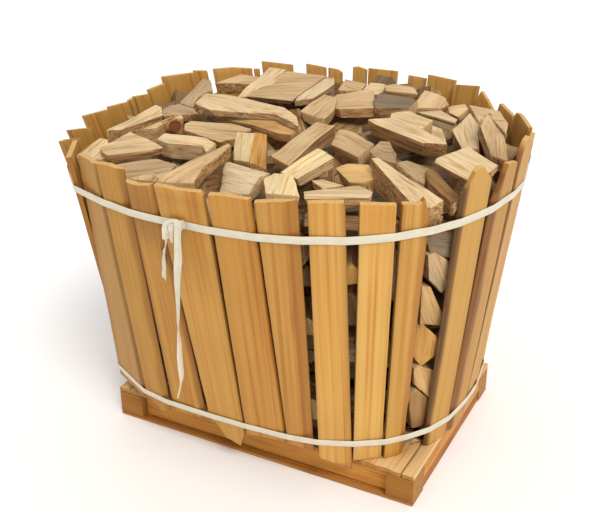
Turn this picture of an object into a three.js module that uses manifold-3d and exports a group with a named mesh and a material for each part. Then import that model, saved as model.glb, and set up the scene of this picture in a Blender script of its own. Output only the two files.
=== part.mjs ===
// A pallet of split oak firewood, walled by upright sawn staves that two flat straps hold together.
// Millimetres, +Z up, +X along the pallet's long side. The front, with the knotted strap, faces -Y.

import * as THREE from 'three';
import Module from 'manifold-3d';
import { mergeVertices } from 'three/addons/utils/BufferGeometryUtils.js';

const wasm = await Module();
wasm.setup();

// Gap that stays between pieces that touch
const touchGap = 0.3;

// Pallet
const palletLength = 1200;
const palletWidth = 800;
const deckTop = 122;
const deckThickness = 18;
const deckGap = 4;
const endStripWidth = 45;
const wideBoards = 5;
const blockSize = 100;
const skidThickness = 12;
const railThickness = 22;
const middleRailWidth = 45;
const railSetBack = 28;
const headerSplit = 52;
const lowerHeaderSetBack = 4;

// The two loops that the straps lie on: a rounded rectangle near the deck, almost a circle at the top.
// Squareness 2 is an ellipse, and a higher one has squarer corners.
const lowerRing = {
  height: 208, halfLeft: 651, halfRight: 639, halfWidth: 503,
  squareness: { frontLeft: 4.5, frontRight: 2.34, backRight: 3.3, backLeft: 4.5 },
};
const upperRing = {
  height: 1037, halfLeft: 741, halfRight: 764, halfWidth: 746,
  squareness: { frontLeft: 2.43, frontRight: 2.27, backRight: 1.9, backLeft: 2.3 },
};

// Staves and straps
const staveThickness = 18;
const staveJoint = 0.2;
const waneDepth = 11;
const strapWidth = 25;
const strapThickness = 2;
const strapClearance = 0.4;

// Firewood: up to the load level it is drawn as one mass, with single logs on it
const loadLevel = 1078;
const loadClearance = 1;
const logSink = 15;
const heapLogCount = 50;
const heapRadius = 735;

const colours = {
  stave: '#d29a45',
  pallet: '#b98643',
  strap: '#e9e3d2',
  firewood: '#cba779',
};

function material(colour, roughness) {
  return new THREE.MeshStandardMaterial({ color: colour, roughness, metalness: 0 });
}

const woodOfStaves = material(colours.stave, 0.6);
const woodOfPallet = material(colours.pallet, 0.75);
const wovenStrap = material(colours.strap, 0.55);
const splitOak = material(colours.firewood, 0.85);

const loadedPallet = new THREE.Group();

function addMesh(name, geometry, finish) {
  const mesh = new THREE.Mesh(geometry, finish);
  mesh.name = name;
  loadedPallet.add(mesh);
  return mesh;
}

// A geometry as a solid for cutting and joining, and back again
function toSolid(geometry) {
  const bare = geometry.clone();
  bare.deleteAttribute('normal');
  bare.deleteAttribute('uv');
  const merged = mergeVertices(bare, 1e-3);
  const vertProperties = merged.getAttribute('position').array;
  const triVerts = new Uint32Array(merged.index.array);
  return new wasm.Manifold(new wasm.Mesh({ numProp: 3, vertProperties, triVerts }));
}

function toGeometry(solid) {
  const mesh = solid.getMesh();
  const geometry = new THREE.BufferGeometry();
  geometry.setAttribute('position', new THREE.BufferAttribute(mesh.vertProperties, 3));
  geometry.setIndex(new THREE.BufferAttribute(mesh.triVerts, 1));
  const flat = geometry.toNonIndexed();
  flat.computeVertexNormals();
  return flat;
}

// What is left of a solid on the side of a plane that the normal points to
function cutByPlane(solid, normal, point) {
  return solid.trimByPlane(normal.toArray(), normal.dot(point));
}

// Pallet pieces

// A sawn board or block between two opposite corners
function sawnBlock(name, low, high) {
  const size = new THREE.Vector3().subVectors(high, low);
  const mesh = addMesh(name, new THREE.BoxGeometry(size.x, size.y, size.z), woodOfPallet);
  mesh.position.addVectors(low, high).multiplyScalar(0.5);
}

// A deck board across the pallet. Chips broken out of its front edge: [distance from its left, depth].
function deckBoard(name, left, width, chips) {
  const front = -palletWidth / 2;
  const frontEdge = [[left, front], ...chips.map(([along, depth]) => [left + along, front + depth])];
  const corners = [[left, -front], ...frontEdge, [left + width, front], [left + width, -front]];
  const outline = new THREE.Shape(corners.map(([x, y]) => new THREE.Vector2(x, y)));
  const board = new THREE.ExtrudeGeometry(outline, { depth: deckThickness, bevelEnabled: false });
  addMesh(name, board, woodOfPallet).position.z = deckTop - deckThickness;
}

function buildPallet() {
  const endX = palletLength / 2;
  const sideY = palletWidth / 2;
  const underDeck = deckTop - deckThickness - touchGap;
  const onSkid = skidThickness + touchGap;
  const corner = (x, y, z) => new THREE.Vector3(x, y, z);

  for (const [side, sign] of [['front', -1], ['back', 1]]) {
    const [lowY, highY] = [sign * sideY, sign * (sideY - blockSize)].sort((a, b) => a - b);
    sawnBlock(`skid_${side}`, corner(-endX, lowY, 0), corner(endX, highY, skidThickness));
    sawnBlock(`block_${side}_left`, corner(-endX, lowY, onSkid), corner(-endX + blockSize, highY, underDeck));
    sawnBlock(`block_${side}_right`, corner(endX - blockSize, lowY, onSkid), corner(endX, highY, underDeck));

    const railEnd = endX - blockSize - touchGap;
    const railFace = sideY - railSetBack;
    const [railLow, railHigh] = [sign * railFace, sign * (railFace - railThickness)].sort((a, b) => a - b);
    sawnBlock(`rail_${side}`, corner(-railEnd, railLow, onSkid), corner(railEnd, railHigh, underDeck));
  }

  const headerInside = endX - railThickness;
  const headerHalf = sideY - blockSize - touchGap;
  const middleRailEnd = headerInside - lowerHeaderSetBack - touchGap;
  const halfRail = middleRailWidth / 2;
  sawnBlock('rail_middle', corner(-endX, -halfRail, 0), corner(middleRailEnd, halfRail, underDeck));
  sawnBlock(
    'header_upper',
    corner(headerInside, -headerHalf, headerSplit),
    corner(endX, headerHalf, underDeck),
  );
  sawnBlock(
    'header_lower',
    corner(headerInside - lowerHeaderSetBack, -headerHalf, 0),
    corner(endX - lowerHeaderSetBack, headerHalf, headerSplit - touchGap),
  );

  const pitch = (palletLength - 2 * endStripWidth - deckGap) / wideBoards;
  const chips = [[2, 0], [6, 5], [16, 12], [32, 15], [60, 14], [74, 5], [92, 9], [128, 4], [166, 7], [182, 3], [196, 0]];
  deckBoard('deck_strip_left', -endX, endStripWidth, []);
  for (let i = 1; i <= wideBoards; i += 1) {
    const left = -endX + endStripWidth + deckGap + (i - 1) * pitch;
    deckBoard(`deck_board_${i}`, left, pitch - deckGap, i === wideBoards ? chips : []);
  }
  deckBoard('deck_strip_right', endX - endStripWidth, endStripWidth, []);
}

// Rings

// Where a ring is met in a direction from the middle, in degrees counted anticlockwise from +X
function ringPoint(ring, degrees) {
  const angle = THREE.MathUtils.degToRad(degrees);
  const east = Math.cos(angle);
  const north = Math.sin(angle);
  const halfLength = east > 0 ? ring.halfRight : ring.halfLeft;
  const power = ring.squareness[(north > 0 ? 'back' : 'front') + (east > 0 ? 'Right' : 'Left')];
  const sum = Math.abs(east / halfLength) ** power + Math.abs(north / ring.halfWidth) ** power;
  const radius = sum ** (-1 / power);
  return new THREE.Vector3(radius * east, radius * north, ring.height);
}

// The length along a ring up to each of many equal steps of direction
function lengthsAlong(ring, from, to, steps) {
  const lengths = [0];
  let last = ringPoint(ring, from);
  for (let i = 1; i <= steps; i += 1) {
    const next = ringPoint(ring, from + ((to - from) * i) / steps);
    lengths.push(lengths[i - 1] + next.distanceTo(last));
    last = next;
  }
  return lengths;
}

// The staves, anticlockwise from the front left corner. Directions are in degrees, heights in millimetres.
// top and foot: the directions of a stave's two edges at the upper and the lower strap.
// crown and heel: its upper and lower end, as [share of the width, height]. No heel: it stands on the deck.
// wane: width of the sloping tree edge along the first and the second edge.
// proud: how far the foot stands out beyond the ring.
const staves = [
  { top: [-138.0, -125.8], foot: [-160, -148.2], crown: [[0, 1155], [1, 1152]], heel: [[0, 130], [1, 140]] },
  { top: [-125.1, -114.7], foot: [-147.6, -130.4], crown: [[0, 1165], [0.6, 1172], [1, 1168]],
    heel: [[0, 160], [1, 166]], wane: [0, 16] },
  { top: [-114.2, -106.2], foot: [-129.7, -121.0], crown: [[0, 1176], [0.5, 1182], [1, 1176]],
    heel: [[0, 182], [0.5, 158], [0.55, 134], [0.9, 142], [1, 152]], wane: [0, 26] },
  { top: [-105.5, -96.9], foot: [-120.2, -105.8], crown: [[0, 1146], [0.4, 1141], [0.85, 1150], [1, 1158]],
    heel: [[0, 162], [1, 178]], wane: [10, 20] },
  { top: [-96.4, -84.0], foot: [-104.0, -88.2], crown: [[0, 1158], [0.5, 1156], [0.93, 1163], [1, 1152]],
    heel: [[0, 180], [0.1, 178], [0.3, 134], [0.35, 106], [0.8, 82], [1, 166]] },
  { top: [-83.1, -73.2], foot: [-87.6, -70.9], crown: [[0, 1158], [0.4, 1163], [1, 1160]],
    heel: [[0, 162], [1, 174]], wane: [0, 9] },
  { top: [-72.7, -63.9], foot: [-70.2, -60.8], crown: [[0, 1150], [0.5, 1160], [0.95, 1164], [1, 1156]],
    heel: [[0, 174], [1, 146]], wane: [0, 38] },
  { top: [-62.1, -54.5], foot: [-58.9, -48.0], crown: [[0, 1158], [0.5, 1161], [0.97, 1160], [1, 1150]],
    heel: [[0, 130], [0.1, 122], [1, 70]], proud: 3 },
  { top: [-51.9, -44.4], foot: [-47.4, -38.2], crown: [[0, 1150], [1, 1141]] },
  { top: [-43.2, -36.5], foot: [-37.5, -30.5],
    crown: [[0, 1136], [0.15, 1138], [0.5, 1129], [0.62, 1134], [0.72, 1147], [0.82, 1118], [1, 1090]],
    wane: [0, 24] },
  { top: [-28.7, -19.9], foot: [-22.6, -13.1],
    crown: [[0, 1128], [0.15, 1150], [0.35, 1187], [0.5, 1200], [0.65, 1194], [1, 1146]], wane: [14, 0] },
  { top: [-17.7, -8.0], foot: [-11.2, -1.0], crown: [[0, 1060], [0.3, 1118], [0.45, 1168], [1, 1152]],
    wane: [18, 0] },
  { top: [-7.3, 1.5], foot: [-0.4, 6.2], crown: [[0, 1180], [0.2, 1210], [0.45, 1216], [1, 1172]] },
  { top: [3.3, 19.6], crown: [[0, 1132], [0.5, 1140], [1, 1130]], heel: [[0, 130], [1, 124]], wane: [20, 0] },
  { top: [20.5, 35.1], crown: [[0, 1142], [0.6, 1150], [0.85, 1145], [1, 1108]], heel: [[0, 134], [1, 128]] },
  { top: [36.5, 45.4], crown: [[0, 1118], [0.5, 1132], [0.8, 1140], [1, 1062]], heel: [[0, 130], [1, 126]] },
  { top: [46.9, 56.6], crown: [[0, 1080], [0.45, 1128], [0.72, 1152], [1, 1086]],
    heel: [[0, 132], [1, 140]] },
  { top: [57.2, 66.2], crown: [[0, 1156], [1, 1141]], heel: [[0, 140], [1, 130]], wane: [0, 14] },
  { top: [66.8, 76.4], crown: [[0, 1150], [1, 1154]], heel: [[0, 132], [0.6, 108], [1, 102]] },
  { top: [77.6, 83.6], crown: [[0, 1134], [1, 1136]], heel: [[0, 122], [1, 124]] },
  { top: [87.3, 97.2], crown: [[0, 1144], [1, 1143]],
    heel: [[0, 136], [0.7, 128], [1, 106]], wane: [12, 12] },
  { top: [97.6, 102.2], crown: [[0, 1138], [0.6, 1146], [1, 1142]], heel: [[0, 114], [1, 110]] },
  { top: [105.4, 110.0], crown: [[0, 1118], [0.3, 1130], [1, 1135]], heel: [[0, 130], [1, 134]] },
  { top: [110.4, 116.8], crown: [[0, 1138], [1, 1147]], heel: [[0, 128], [1, 120]] },
  { top: [120.4, 130.2], crown: [[0, 1150], [1, 1161]],
    heel: [[0, 116], [0.5, 126], [1, 132]], wane: [0, 16] },
  { top: [130.7, 132.7], crown: [[0, 1137], [1, 1137]], heel: [[0, 136], [1, 136]] },
  { top: [133.1, 145.4], crown: [[0, 1148], [0.5, 1154], [1, 1150]], heel: [[0, 138], [1, 144]] },
  { top: [147.4, 151.8], crown: [[0, 1158], [1, 1164]], heel: [[0, 142], [1, 138]] },
  { top: [152.4, 163.1], crown: [[0, 1163], [1, 1167]], heel: [[0, 140], [1, 132]], wane: [18, 0] },
  { top: [163.6, 170.3], crown: [[0, 1146], [1, 1138]], heel: [[0, 128], [1, 122]] },
  { top: [170.8, 177.1], crown: [[0, 1124], [1, 1133]], heel: [[0, 118], [1, 126]] },
  { top: [177.6, 179.7], crown: [[0, 1132], [1, 1126]], heel: [[0, 134], [1, 134]] },
  { top: [180.3, 189.7], crown: [[0, 1124], [1, 1136]],
    heel: [[0, 122], [0.5, 110], [1, 108]], wane: [0, 14] },
  { top: [190.2, 200.5], crown: [[0, 1130], [1, 1145]], heel: [[0, 126], [1, 132]] },
  { top: [201.1, 211.0], crown: [[0, 1102], [0.5, 1122], [1, 1138]], heel: [[0, 128], [1, 132]] },
  { top: [211.5, 221.0], crown: [[0, 1112], [0.7, 1140], [1, 1146]], heel: [[0, 134], [1, 138]] },
];

// The unseen staves have no foot in the list: their feet share the lower ring between the seen ones in
// the proportions in which their tops share the upper ring.
function placeUnseenFeet() {
  const seen = staves.filter((stave) => stave.foot);
  const [first, last] = [seen[0], seen[seen.length - 1]];
  const [topFrom, topTo] = [last.top[1], first.top[0] + 360];
  const [footFrom, footTo] = [last.foot[1], first.foot[0] + 360];
  const steps = 2000;
  const upper = lengthsAlong(upperRing, topFrom, topTo, steps);
  const lower = lengthsAlong(lowerRing, footFrom, footTo, steps);
  const footDirection = (topDirection) => {
    const step = Math.round(((topDirection - topFrom) / (topTo - topFrom)) * steps);
    const wanted = (upper[step] / upper[steps]) * lower[steps];
    const reached = lower.findIndex((length) => length >= wanted);
    return footFrom + ((footTo - footFrom) * reached) / steps;
  };
  for (const stave of staves) {
    stave.foot ??= stave.top.map(footDirection);
  }
}

// Adds to each stave its own frame, across, along and out of its face, and its two straight edges
function placeStave(stave) {
  const tops = stave.top.map((direction) => ringPoint(upperRing, direction));
  const feet = stave.foot.map((direction) => ringPoint(lowerRing, direction));
  const middle = ([a, b]) => a.clone().add(b).multiplyScalar(0.5);
  if (stave.proud) {
    const outwards = middle(feet).setZ(0).setLength(stave.proud);
    feet.forEach((foot) => foot.add(outwards));
  }
  const start = middle(feet);
  const along = middle(tops).sub(start).normalize();
  const across = tops[1].clone().sub(tops[0]).normalize().add(feet[1].clone().sub(feet[0]).normalize());
  across.addScaledVector(along, -across.dot(along)).normalize();
  const outward = new THREE.Vector3().crossVectors(across, along);
  const toWorld = new THREE.Matrix4().makeBasis(across, along, outward).setPosition(start);
  const toLocal = toWorld.clone().invert();
  const [topLeft, topRight, footLeft, footRight] = [...tops, ...feet].map((p) => p.applyMatrix4(toLocal));

  // Both edges are straight lines: how far across they are at the start, and how that changes along them
  const edgeLine = (foot, top) => {
    const slope = (top.x - foot.x) / (top.y - foot.y);
    return { begin: foot.x - slope * foot.y, slope };
  };
  const left = edgeLine(footLeft, topLeft);
  const right = edgeLine(footRight, topRight);
  const pointOf = (share, height) => {
    const begin = left.begin + (right.begin - left.begin) * share;
    const slope = left.slope + (right.slope - left.slope) * share;
    const length = (height - start.z - across.z * begin) / (along.z + across.z * slope);
    return new THREE.Vector3(begin + slope * length, length, 0);
  };
  Object.assign(stave, { toWorld, outward, pointOf });
  stave.facePoint = (share, height) => pointOf(share, height).applyMatrix4(toWorld);
}

// The plane between two neighbours: it runs between their facing edges and halves the angle of their faces
function planeBetween(left, right) {
  const halfway = (height) => left.facePoint(1, height).add(right.facePoint(0, height)).multiplyScalar(0.5);
  const point = halfway(lowerRing.height);
  const run = halfway(upperRing.height).sub(point);
  const depth = left.outward.clone().add(right.outward);
  const normal = run.cross(depth).normalize();
  return { point, normal };
}

// The tree edge: a slope from the outer face, at the wane's width, down to waneDepth at the stave's edge
function cutWane(solid, stave, share, width) {
  const foot = stave.facePoint(share, lowerRing.height);
  const edge = stave.facePoint(share, upperRing.height).sub(foot).normalize();
  const inward = new THREE.Vector3().crossVectors(edge, stave.outward).multiplyScalar(share === 0 ? 1 : -1);
  const start = foot.addScaledVector(inward, width);
  const normal = inward.clone().multiplyScalar(waneDepth).addScaledVector(stave.outward, -width).normalize();
  return cutByPlane(solid, normal, start);
}

function staveSolid(stave, planeBefore, planeAfter) {
  const belowDeckTop = deckTop - 10;
  const heel = stave.heel ?? [[0, belowDeckTop], [1, belowDeckTop]];
  const ends = [...heel, ...stave.crown.toReversed()];
  const corners = ends.map(([share, height]) => stave.pointOf(share, height));
  const outline = new THREE.Shape(corners.map((point) => new THREE.Vector2(point.x, point.y)));
  const board = new THREE.ExtrudeGeometry(outline, { depth: staveThickness, bevelEnabled: false });
  board.translate(0, 0, -staveThickness);
  board.applyMatrix4(stave.toWorld);
  let solid = toSolid(board);

  const away = (normal, point) => point.clone().addScaledVector(normal, staveJoint);
  const fromAfter = planeAfter.normal.clone().negate();
  solid = cutByPlane(solid, planeBefore.normal, away(planeBefore.normal, planeBefore.point));
  solid = cutByPlane(solid, fromAfter, away(fromAfter, planeAfter.point));
  if (!stave.heel) {
    solid = cutByPlane(solid, new THREE.Vector3(0, 0, 1), new THREE.Vector3(0, 0, deckTop + touchGap));
  }
  (stave.wane ?? []).forEach((width, share) => {
    if (width > 0) solid = cutWane(solid, stave, share, width);
  });
  return solid;
}

function buildStaves() {
  placeUnseenFeet();
  staves.forEach(placeStave);
  const planes = staves.map((stave, i) => planeBetween(stave, staves[(i + 1) % staves.length]));
  staves.forEach((stave, i) => {
    const solid = staveSolid(stave, planes.at(i - 1), planes[i]);
    const number = String(i + 1).padStart(2, '0');
    addMesh(`stave_${number}`, toGeometry(solid), woodOfStaves);
  });
}

// Straps

// The corners that a taut band takes round a set of points, seen from above, anticlockwise
function tautOutline(points) {
  const leftToRight = (a, b) => points[a].x - points[b].x || points[a].y - points[b].y;
  const order = points.map((_, i) => i).sort(leftToRight);
  const turn = (o, a, b) => (a.x - o.x) * (b.y - o.y) - (a.y - o.y) * (b.x - o.x);
  const halfOutline = (indices) => {
    const kept = [];
    for (const i of indices) {
      while (kept.length > 1 && turn(points[kept.at(-2)], points[kept.at(-1)], points[i]) <= 0) kept.pop();
      kept.push(i);
    }
    return kept.slice(0, -1);
  };
  return [...halfOutline(order), ...halfOutline(order.toReversed())];
}

// A closed outline moved outwards by a distance, corner by corner
function movedOut(points, distance) {
  const side = (a, b) => new THREE.Vector2(b.y - a.y, a.x - b.x).normalize();
  return points.map((point, i) => {
    const before = side(points.at(i - 1), point);
    const after = side(point, points[(i + 1) % points.length]);
    const corner = before.add(after);
    corner.multiplyScalar((2 * distance) / corner.lengthSq());
    return new THREE.Vector3(point.x + corner.x, point.y + corner.y, point.z);
  });
}

// A band round all staves that leans with their faces
function strapGeometry(height) {
  const edges = staves.flatMap((stave) => [0, 1].map((share) => ({ stave, share })));
  const touched = tautOutline(edges.map(({ stave, share }) => stave.facePoint(share, height)));
  const outlineAt = (level) => touched.map((i) => edges[i].stave.facePoint(edges[i].share, level));
  const low = outlineAt(height - strapWidth / 2);
  const high = outlineAt(height + strapWidth / 2);
  const outerDistance = strapClearance + strapThickness;
  const rings = [
    movedOut(low, strapClearance),
    movedOut(low, outerDistance),
    movedOut(high, outerDistance),
    movedOut(high, strapClearance),
  ];
  const count = touched.length;
  const triangles = [];
  rings.forEach((_, r) => {
    const next = ((r + 1) % rings.length) * count;
    for (let i = 0; i < count; i += 1) {
      const j = (i + 1) % count;
      triangles.push(r * count + i, r * count + j, next + j, r * count + i, next + j, next + i);
    }
  });
  const geometry = new THREE.BufferGeometry().setFromPoints(rings.flat());
  geometry.setIndex(triangles);
  const flat = geometry.toNonIndexed();
  flat.computeVertexNormals();
  return flat;
}

function buildStraps() {
  addMesh('strap_lower', strapGeometry(lowerRing.height), wovenStrap);
  addMesh('strap_upper', strapGeometry(upperRing.height), wovenStrap);
}

// Knot and loose ends. They hang free of the leaning staves, so each is flat in a plane of its own.
const knotBack = -750.8;
const knotThickness = 14;
const shortTailBack = -760;

const knotOutline = [
  [-60, 1024], [-61, 1046], [-52, 1052], [-34, 1049], [-12, 1052], [-3, 1046],
  [-3, 1022], [-12, 1018], [-26, 1018], [-29, 984], [-36, 979], [-42, 986], [-41, 1019], [-52, 1018],
];

// The middle line and the width of each loose end, from the knot down: [x, height, width]
const longTail = [
  [-12, 1046, 25], [-13, 1012, 25], [-15, 965, 25], [-21, 926, 25], [-26, 883, 25], [-30, 833, 22],
  [-31, 783, 17], [-34, 739, 11], [-37, 704, 7], [-38, 663, 10], [-38, 621, 14], [-38, 575, 16],
  [-37, 532, 15], [-45, 490, 10], [-52, 466, 8], [-59, 449, 7],
];
const shortTail = [
  [-53, 1013, 17], [-60, 998, 17], [-67, 965, 12], [-71, 932, 9], [-73, 906, 13], [-72, 880, 15],
  [-74, 860, 12],
];

// A flat piece with its outline given as [x, height] and its back in the plane y = back
function flatPiece(outline, back, thickness) {
  const shape = new THREE.Shape(outline.map(([x, height]) => new THREE.Vector2(x, height)));
  const geometry = new THREE.ExtrudeGeometry(shape, { depth: thickness, bevelEnabled: false });
  geometry.rotateX(Math.PI / 2);
  geometry.translate(0, back, 0);
  return geometry;
}

function bandOutline(line) {
  const sides = line.map(([x, height, width], i) => {
    const [beforeX, beforeHeight] = line[Math.max(i - 1, 0)];
    const [afterX, afterHeight] = line[Math.min(i + 1, line.length - 1)];
    const run = new THREE.Vector2(afterX - beforeX, afterHeight - beforeHeight).setLength(width / 2);
    return [[x - run.y, height + run.x], [x + run.y, height - run.x]];
  });
  return [...sides.map(([left]) => left), ...sides.map(([, right]) => right).reverse()];
}

function buildKnot() {
  const longTailBack = knotBack - knotThickness - touchGap;
  addMesh('knot', flatPiece(knotOutline, knotBack, knotThickness), wovenStrap);
  addMesh('tail_long', flatPiece(bandOutline(longTail), longTailBack, strapThickness), wovenStrap);
  addMesh('tail_short', flatPiece(bandOutline(shortTail), shortTailBack, strapThickness), wovenStrap);
}

// Firewood

// The logs seen on top, from the photograph's left to its right. at: the middle of the upper side.
// heading: the direction of the length, in degrees anticlockwise from +X. rise: how that end is tilted up.
// size: length, width and thickness.
const topLogs = [
  { at: [-490, -540, 1130], heading: 101, rise: 0, size: [230, 120, 60], form: 'slab' },
  { at: [-310, -550, 1160], heading: 35, rise: 0, size: [220, 125, 40], form: 'slab' },
  { at: [-500, -290, 1160], heading: 90, rise: 0, size: [270, 100, 70], form: 'wedge' },
  { at: [-440, -230, 1140], heading: 86, rise: 0, size: [250, 90, 90], form: 'wedge' },
  { at: [-250, -160, 1120], heading: 18, rise: 0, size: [240, 110, 90], form: 'wedge' },
  { at: [-160, -110, 1180], heading: 1, rise: -4, size: [380, 110, 60], form: 'slab' },
  { at: [-280, -10, 1120], heading: 22, rise: 0, size: [230, 60, 50], form: 'wedge' },
  { at: [-110, -50, 1130], heading: 0, rise: 0, size: [230, 100, 80], form: 'slab' },
  { at: [-540, 140, 1140], heading: 103, rise: 4, size: [260, 80, 60], form: 'slab' },
  { at: [-560, 50, 1100], heading: 26, rise: 0, size: [220, 60, 40], form: 'slab' },
  { at: [-540, 430, 1120], heading: 56, rise: 0, size: [220, 90, 80], form: 'wedge' },
  { at: [-410, 450, 1130], heading: 96, rise: 0, size: [360, 80, 50], form: 'slab' },
  { at: [-210, 280, 1180], heading: 7, rise: 0, size: [280, 240, 50], form: 'slab' },
  { at: [-20, 150, 1140], heading: 66, rise: 0, size: [230, 90, 50], form: 'wedge' },
  { at: [50, 250, 1160], heading: 6, rise: 0, size: [220, 140, 50], form: 'slab' },
  { at: [-100, 570, 1120], heading: 66, rise: 0, size: [220, 130, 50], form: 'slab' },
  { at: [10, 570, 1120], heading: 77, rise: 0, size: [230, 100, 50], form: 'wedge' },
  { at: [140, 520, 1140], heading: -8, rise: 0, size: [200, 70, 50], form: 'wedge' },
  { at: [170, 380, 1140], heading: 36, rise: 0, size: [220, 70, 70], form: 'wedge' },
  { at: [290, 380, 1140], heading: 52, rise: 0, size: [230, 140, 50], form: 'slab' },
  { at: [390, 450, 1120], heading: 49, rise: 0, size: [200, 100, 50], form: 'slab' },
  { at: [620, 140, 1140], heading: -66, rise: -10, size: [370, 130, 100], form: 'wedge' },
  { at: [520, 120, 1140], heading: -60, rise: -8, size: [260, 120, 70], form: 'slab' },
  { at: [430, 110, 1120], heading: -50, rise: 0, size: [220, 60, 50], form: 'wedge' },
  { at: [290, 170, 1150], heading: 16, rise: 0, size: [230, 120, 50], form: 'slab' },
  { at: [420, -100, 1160], heading: -12, rise: -4, size: [280, 120, 60], form: 'slab' },
  { at: [360, 310, 1130], heading: 5, rise: 0, size: [220, 60, 50], form: 'wedge' },
  { at: [120, 120, 1110], heading: -38, rise: 0, size: [210, 80, 80], form: 'round' },
  { at: [250, -140, 1140], heading: -27, rise: 0, size: [220, 100, 70], form: 'slab' },
  { at: [360, -150, 1130], heading: 81, rise: 0, size: [180, 100, 90], form: 'wedge' },
  { at: [140, -270, 1160], heading: 85, rise: 4, size: [300, 120, 70], form: 'slab' },
  { at: [250, -440, 1160], heading: 87, rise: 0, size: [270, 90, 60], form: 'slab' },
  { at: [350, -340, 1120], heading: 22, rise: 0, size: [220, 90, 90], form: 'wedge' },
  { at: [580, -510, 1170], heading: -35, rise: -7, size: [300, 110, 80], form: 'wedge' },
  { at: [610, -310, 1110], heading: -41, rise: -6, size: [240, 60, 60], form: 'round' },
  { at: [670, -230, 1150], heading: -38, rise: -2, size: [250, 170, 50], form: 'slab' },
  { at: [460, -170, 1100], heading: -13, rise: 0, size: [220, 120, 50], form: 'slab' },
  { at: [410, -590, 1150], heading: 27, rise: 0, size: [200, 80, 40], form: 'slab' },
  { at: [300, -480, 1120], heading: 20, rise: 0, size: [220, 80, 50], form: 'wedge' },
  { at: [90, -550, 1130], heading: 26, rise: 0, size: [210, 140, 60], form: 'slab' },
  { at: [220, -600, 1150], heading: -47, rise: -8, size: [180, 120, 80], form: 'wedge' },
  { at: [10, -380, 1160], heading: -60, rise: 0, size: [290, 110, 80], form: 'wedge' },
  { at: [-120, -680, 1150], heading: 19, rise: 0, size: [210, 80, 50], form: 'slab' },
  { at: [-20, -550, 1160], heading: 106, rise: 0, size: [330, 100, 60], form: 'slab' },
  { at: [-230, -380, 1150], heading: 8, rise: 0, size: [240, 80, 90], form: 'wedge' },
  { at: [-290, -530, 1100], heading: 26, rise: 0, size: [270, 150, 60], form: 'slab' },
];

// The logs between them: spread evenly over the heap, each turned another way
function logsBetween() {
  const goldenTurn = 137.5;
  return Array.from({ length: heapLogCount }, (_, i) => {
    const radius = heapRadius * Math.sqrt((i + 0.5) / heapLogCount);
    const direction = THREE.MathUtils.degToRad(i * goldenTurn);
    return {
      at: [radius * Math.cos(direction), radius * Math.sin(direction), loadLevel + 12 + 9 * (i % 4)],
      heading: (i * 67) % 180,
      rise: 3 * (i % 3) - 3,
      size: [190 + 20 * (i % 4), 80 + 15 * (i % 3), 60],
      form: i % 2 ? 'wedge' : 'slab',
    };
  });
}

// Upper sides of a log's cross-section as [share of the width, share of the thickness below the top]
const logForms = {
  slab: [[0.5, -0.35], [0.4, -0.04], [-0.42, 0], [-0.5, -0.3]],
  wedge: [[0.5, -0.6], [0.1, -0.05], [-0.08, 0], [-0.5, -0.7]],
  round: [[0.5, -0.5], [0.35, -0.15], [0, 0], [-0.35, -0.15], [-0.5, -0.5]],
};

// A log as a prism whose underside reaches down into the mass of the load
function logSolid({ at, heading, rise, size, form }) {
  const [length, width, thickness] = size;
  const slope = THREE.MathUtils.degToRad(rise);
  const depth = at[2] - loadLevel + logSink + (Math.abs(Math.sin(slope)) * length) / 2;
  const bottom = -Math.max(depth, thickness);
  const underside = [[-0.5 * width, bottom], [0.5 * width, bottom]];
  const upperSide = logForms[form].map(([across, down]) => [across * width, down * thickness]);
  const section = new THREE.Shape([...underside, ...upperSide].map(([x, y]) => new THREE.Vector2(x, y)));
  const prism = new THREE.ExtrudeGeometry(section, { depth: length, bevelEnabled: false });
  prism.translate(0, 0, -length / 2);
  const lengthAlongX = new THREE.Matrix4().set(0, 0, 1, 0, 1, 0, 0, 0, 0, 1, 0, 0, 0, 0, 0, 1);
  prism.applyMatrix4(lengthAlongX);
  prism.rotateY(-slope);
  prism.rotateZ(THREE.MathUtils.degToRad(heading));
  prism.translate(...at);
  return toSolid(prism);
}

function buildFirewood() {
  const bottom = deckTop + touchGap;
  const reach = 2 * upperRing.halfRight + 200;
  const block = new THREE.BoxGeometry(reach, reach, loadLevel - bottom);
  block.translate(0, 0, (loadLevel + bottom) / 2);
  let firewood = toSolid(block);
  for (const log of [...topLogs, ...logsBetween()]) {
    firewood = firewood.add(logSolid(log));
  }
  for (const stave of staves) {
    const inward = stave.outward.clone().negate();
    const face = stave.facePoint(0.5, lowerRing.height);
    const inside = face.addScaledVector(inward, staveThickness + loadClearance);
    firewood = cutByPlane(firewood, inward, inside);
  }
  addMesh('firewood', toGeometry(firewood), splitOak);
}

// The origin goes to the middle of the footprint, on the floor. The loose ends don't count.
function centreOnFloor() {
  const box = new THREE.Box3();
  loadedPallet.children
    .filter((mesh) => !mesh.name.startsWith('tail'))
    .forEach((mesh) => box.expandByObject(mesh, true));
  const middle = box.getCenter(new THREE.Vector3());
  loadedPallet.position.set(-middle.x, -middle.y, -box.min.z);
}

buildPallet();
buildStaves();
buildStraps();
buildKnot();
buildFirewood();
centreOnFloor();

export default loadedPallet;
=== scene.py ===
# %% [markdown]
# A pallet of split oak firewood, dressed in Blender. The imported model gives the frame: every piece made
# here goes where its solid is, in metres, +Z up, with the knotted side facing -Y.

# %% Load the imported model
import math
import random

import bmesh
import bpy
import numpy as np
from mathutils import Matrix, Vector, noise
from mathutils.bvhtree import BVHTree


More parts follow.
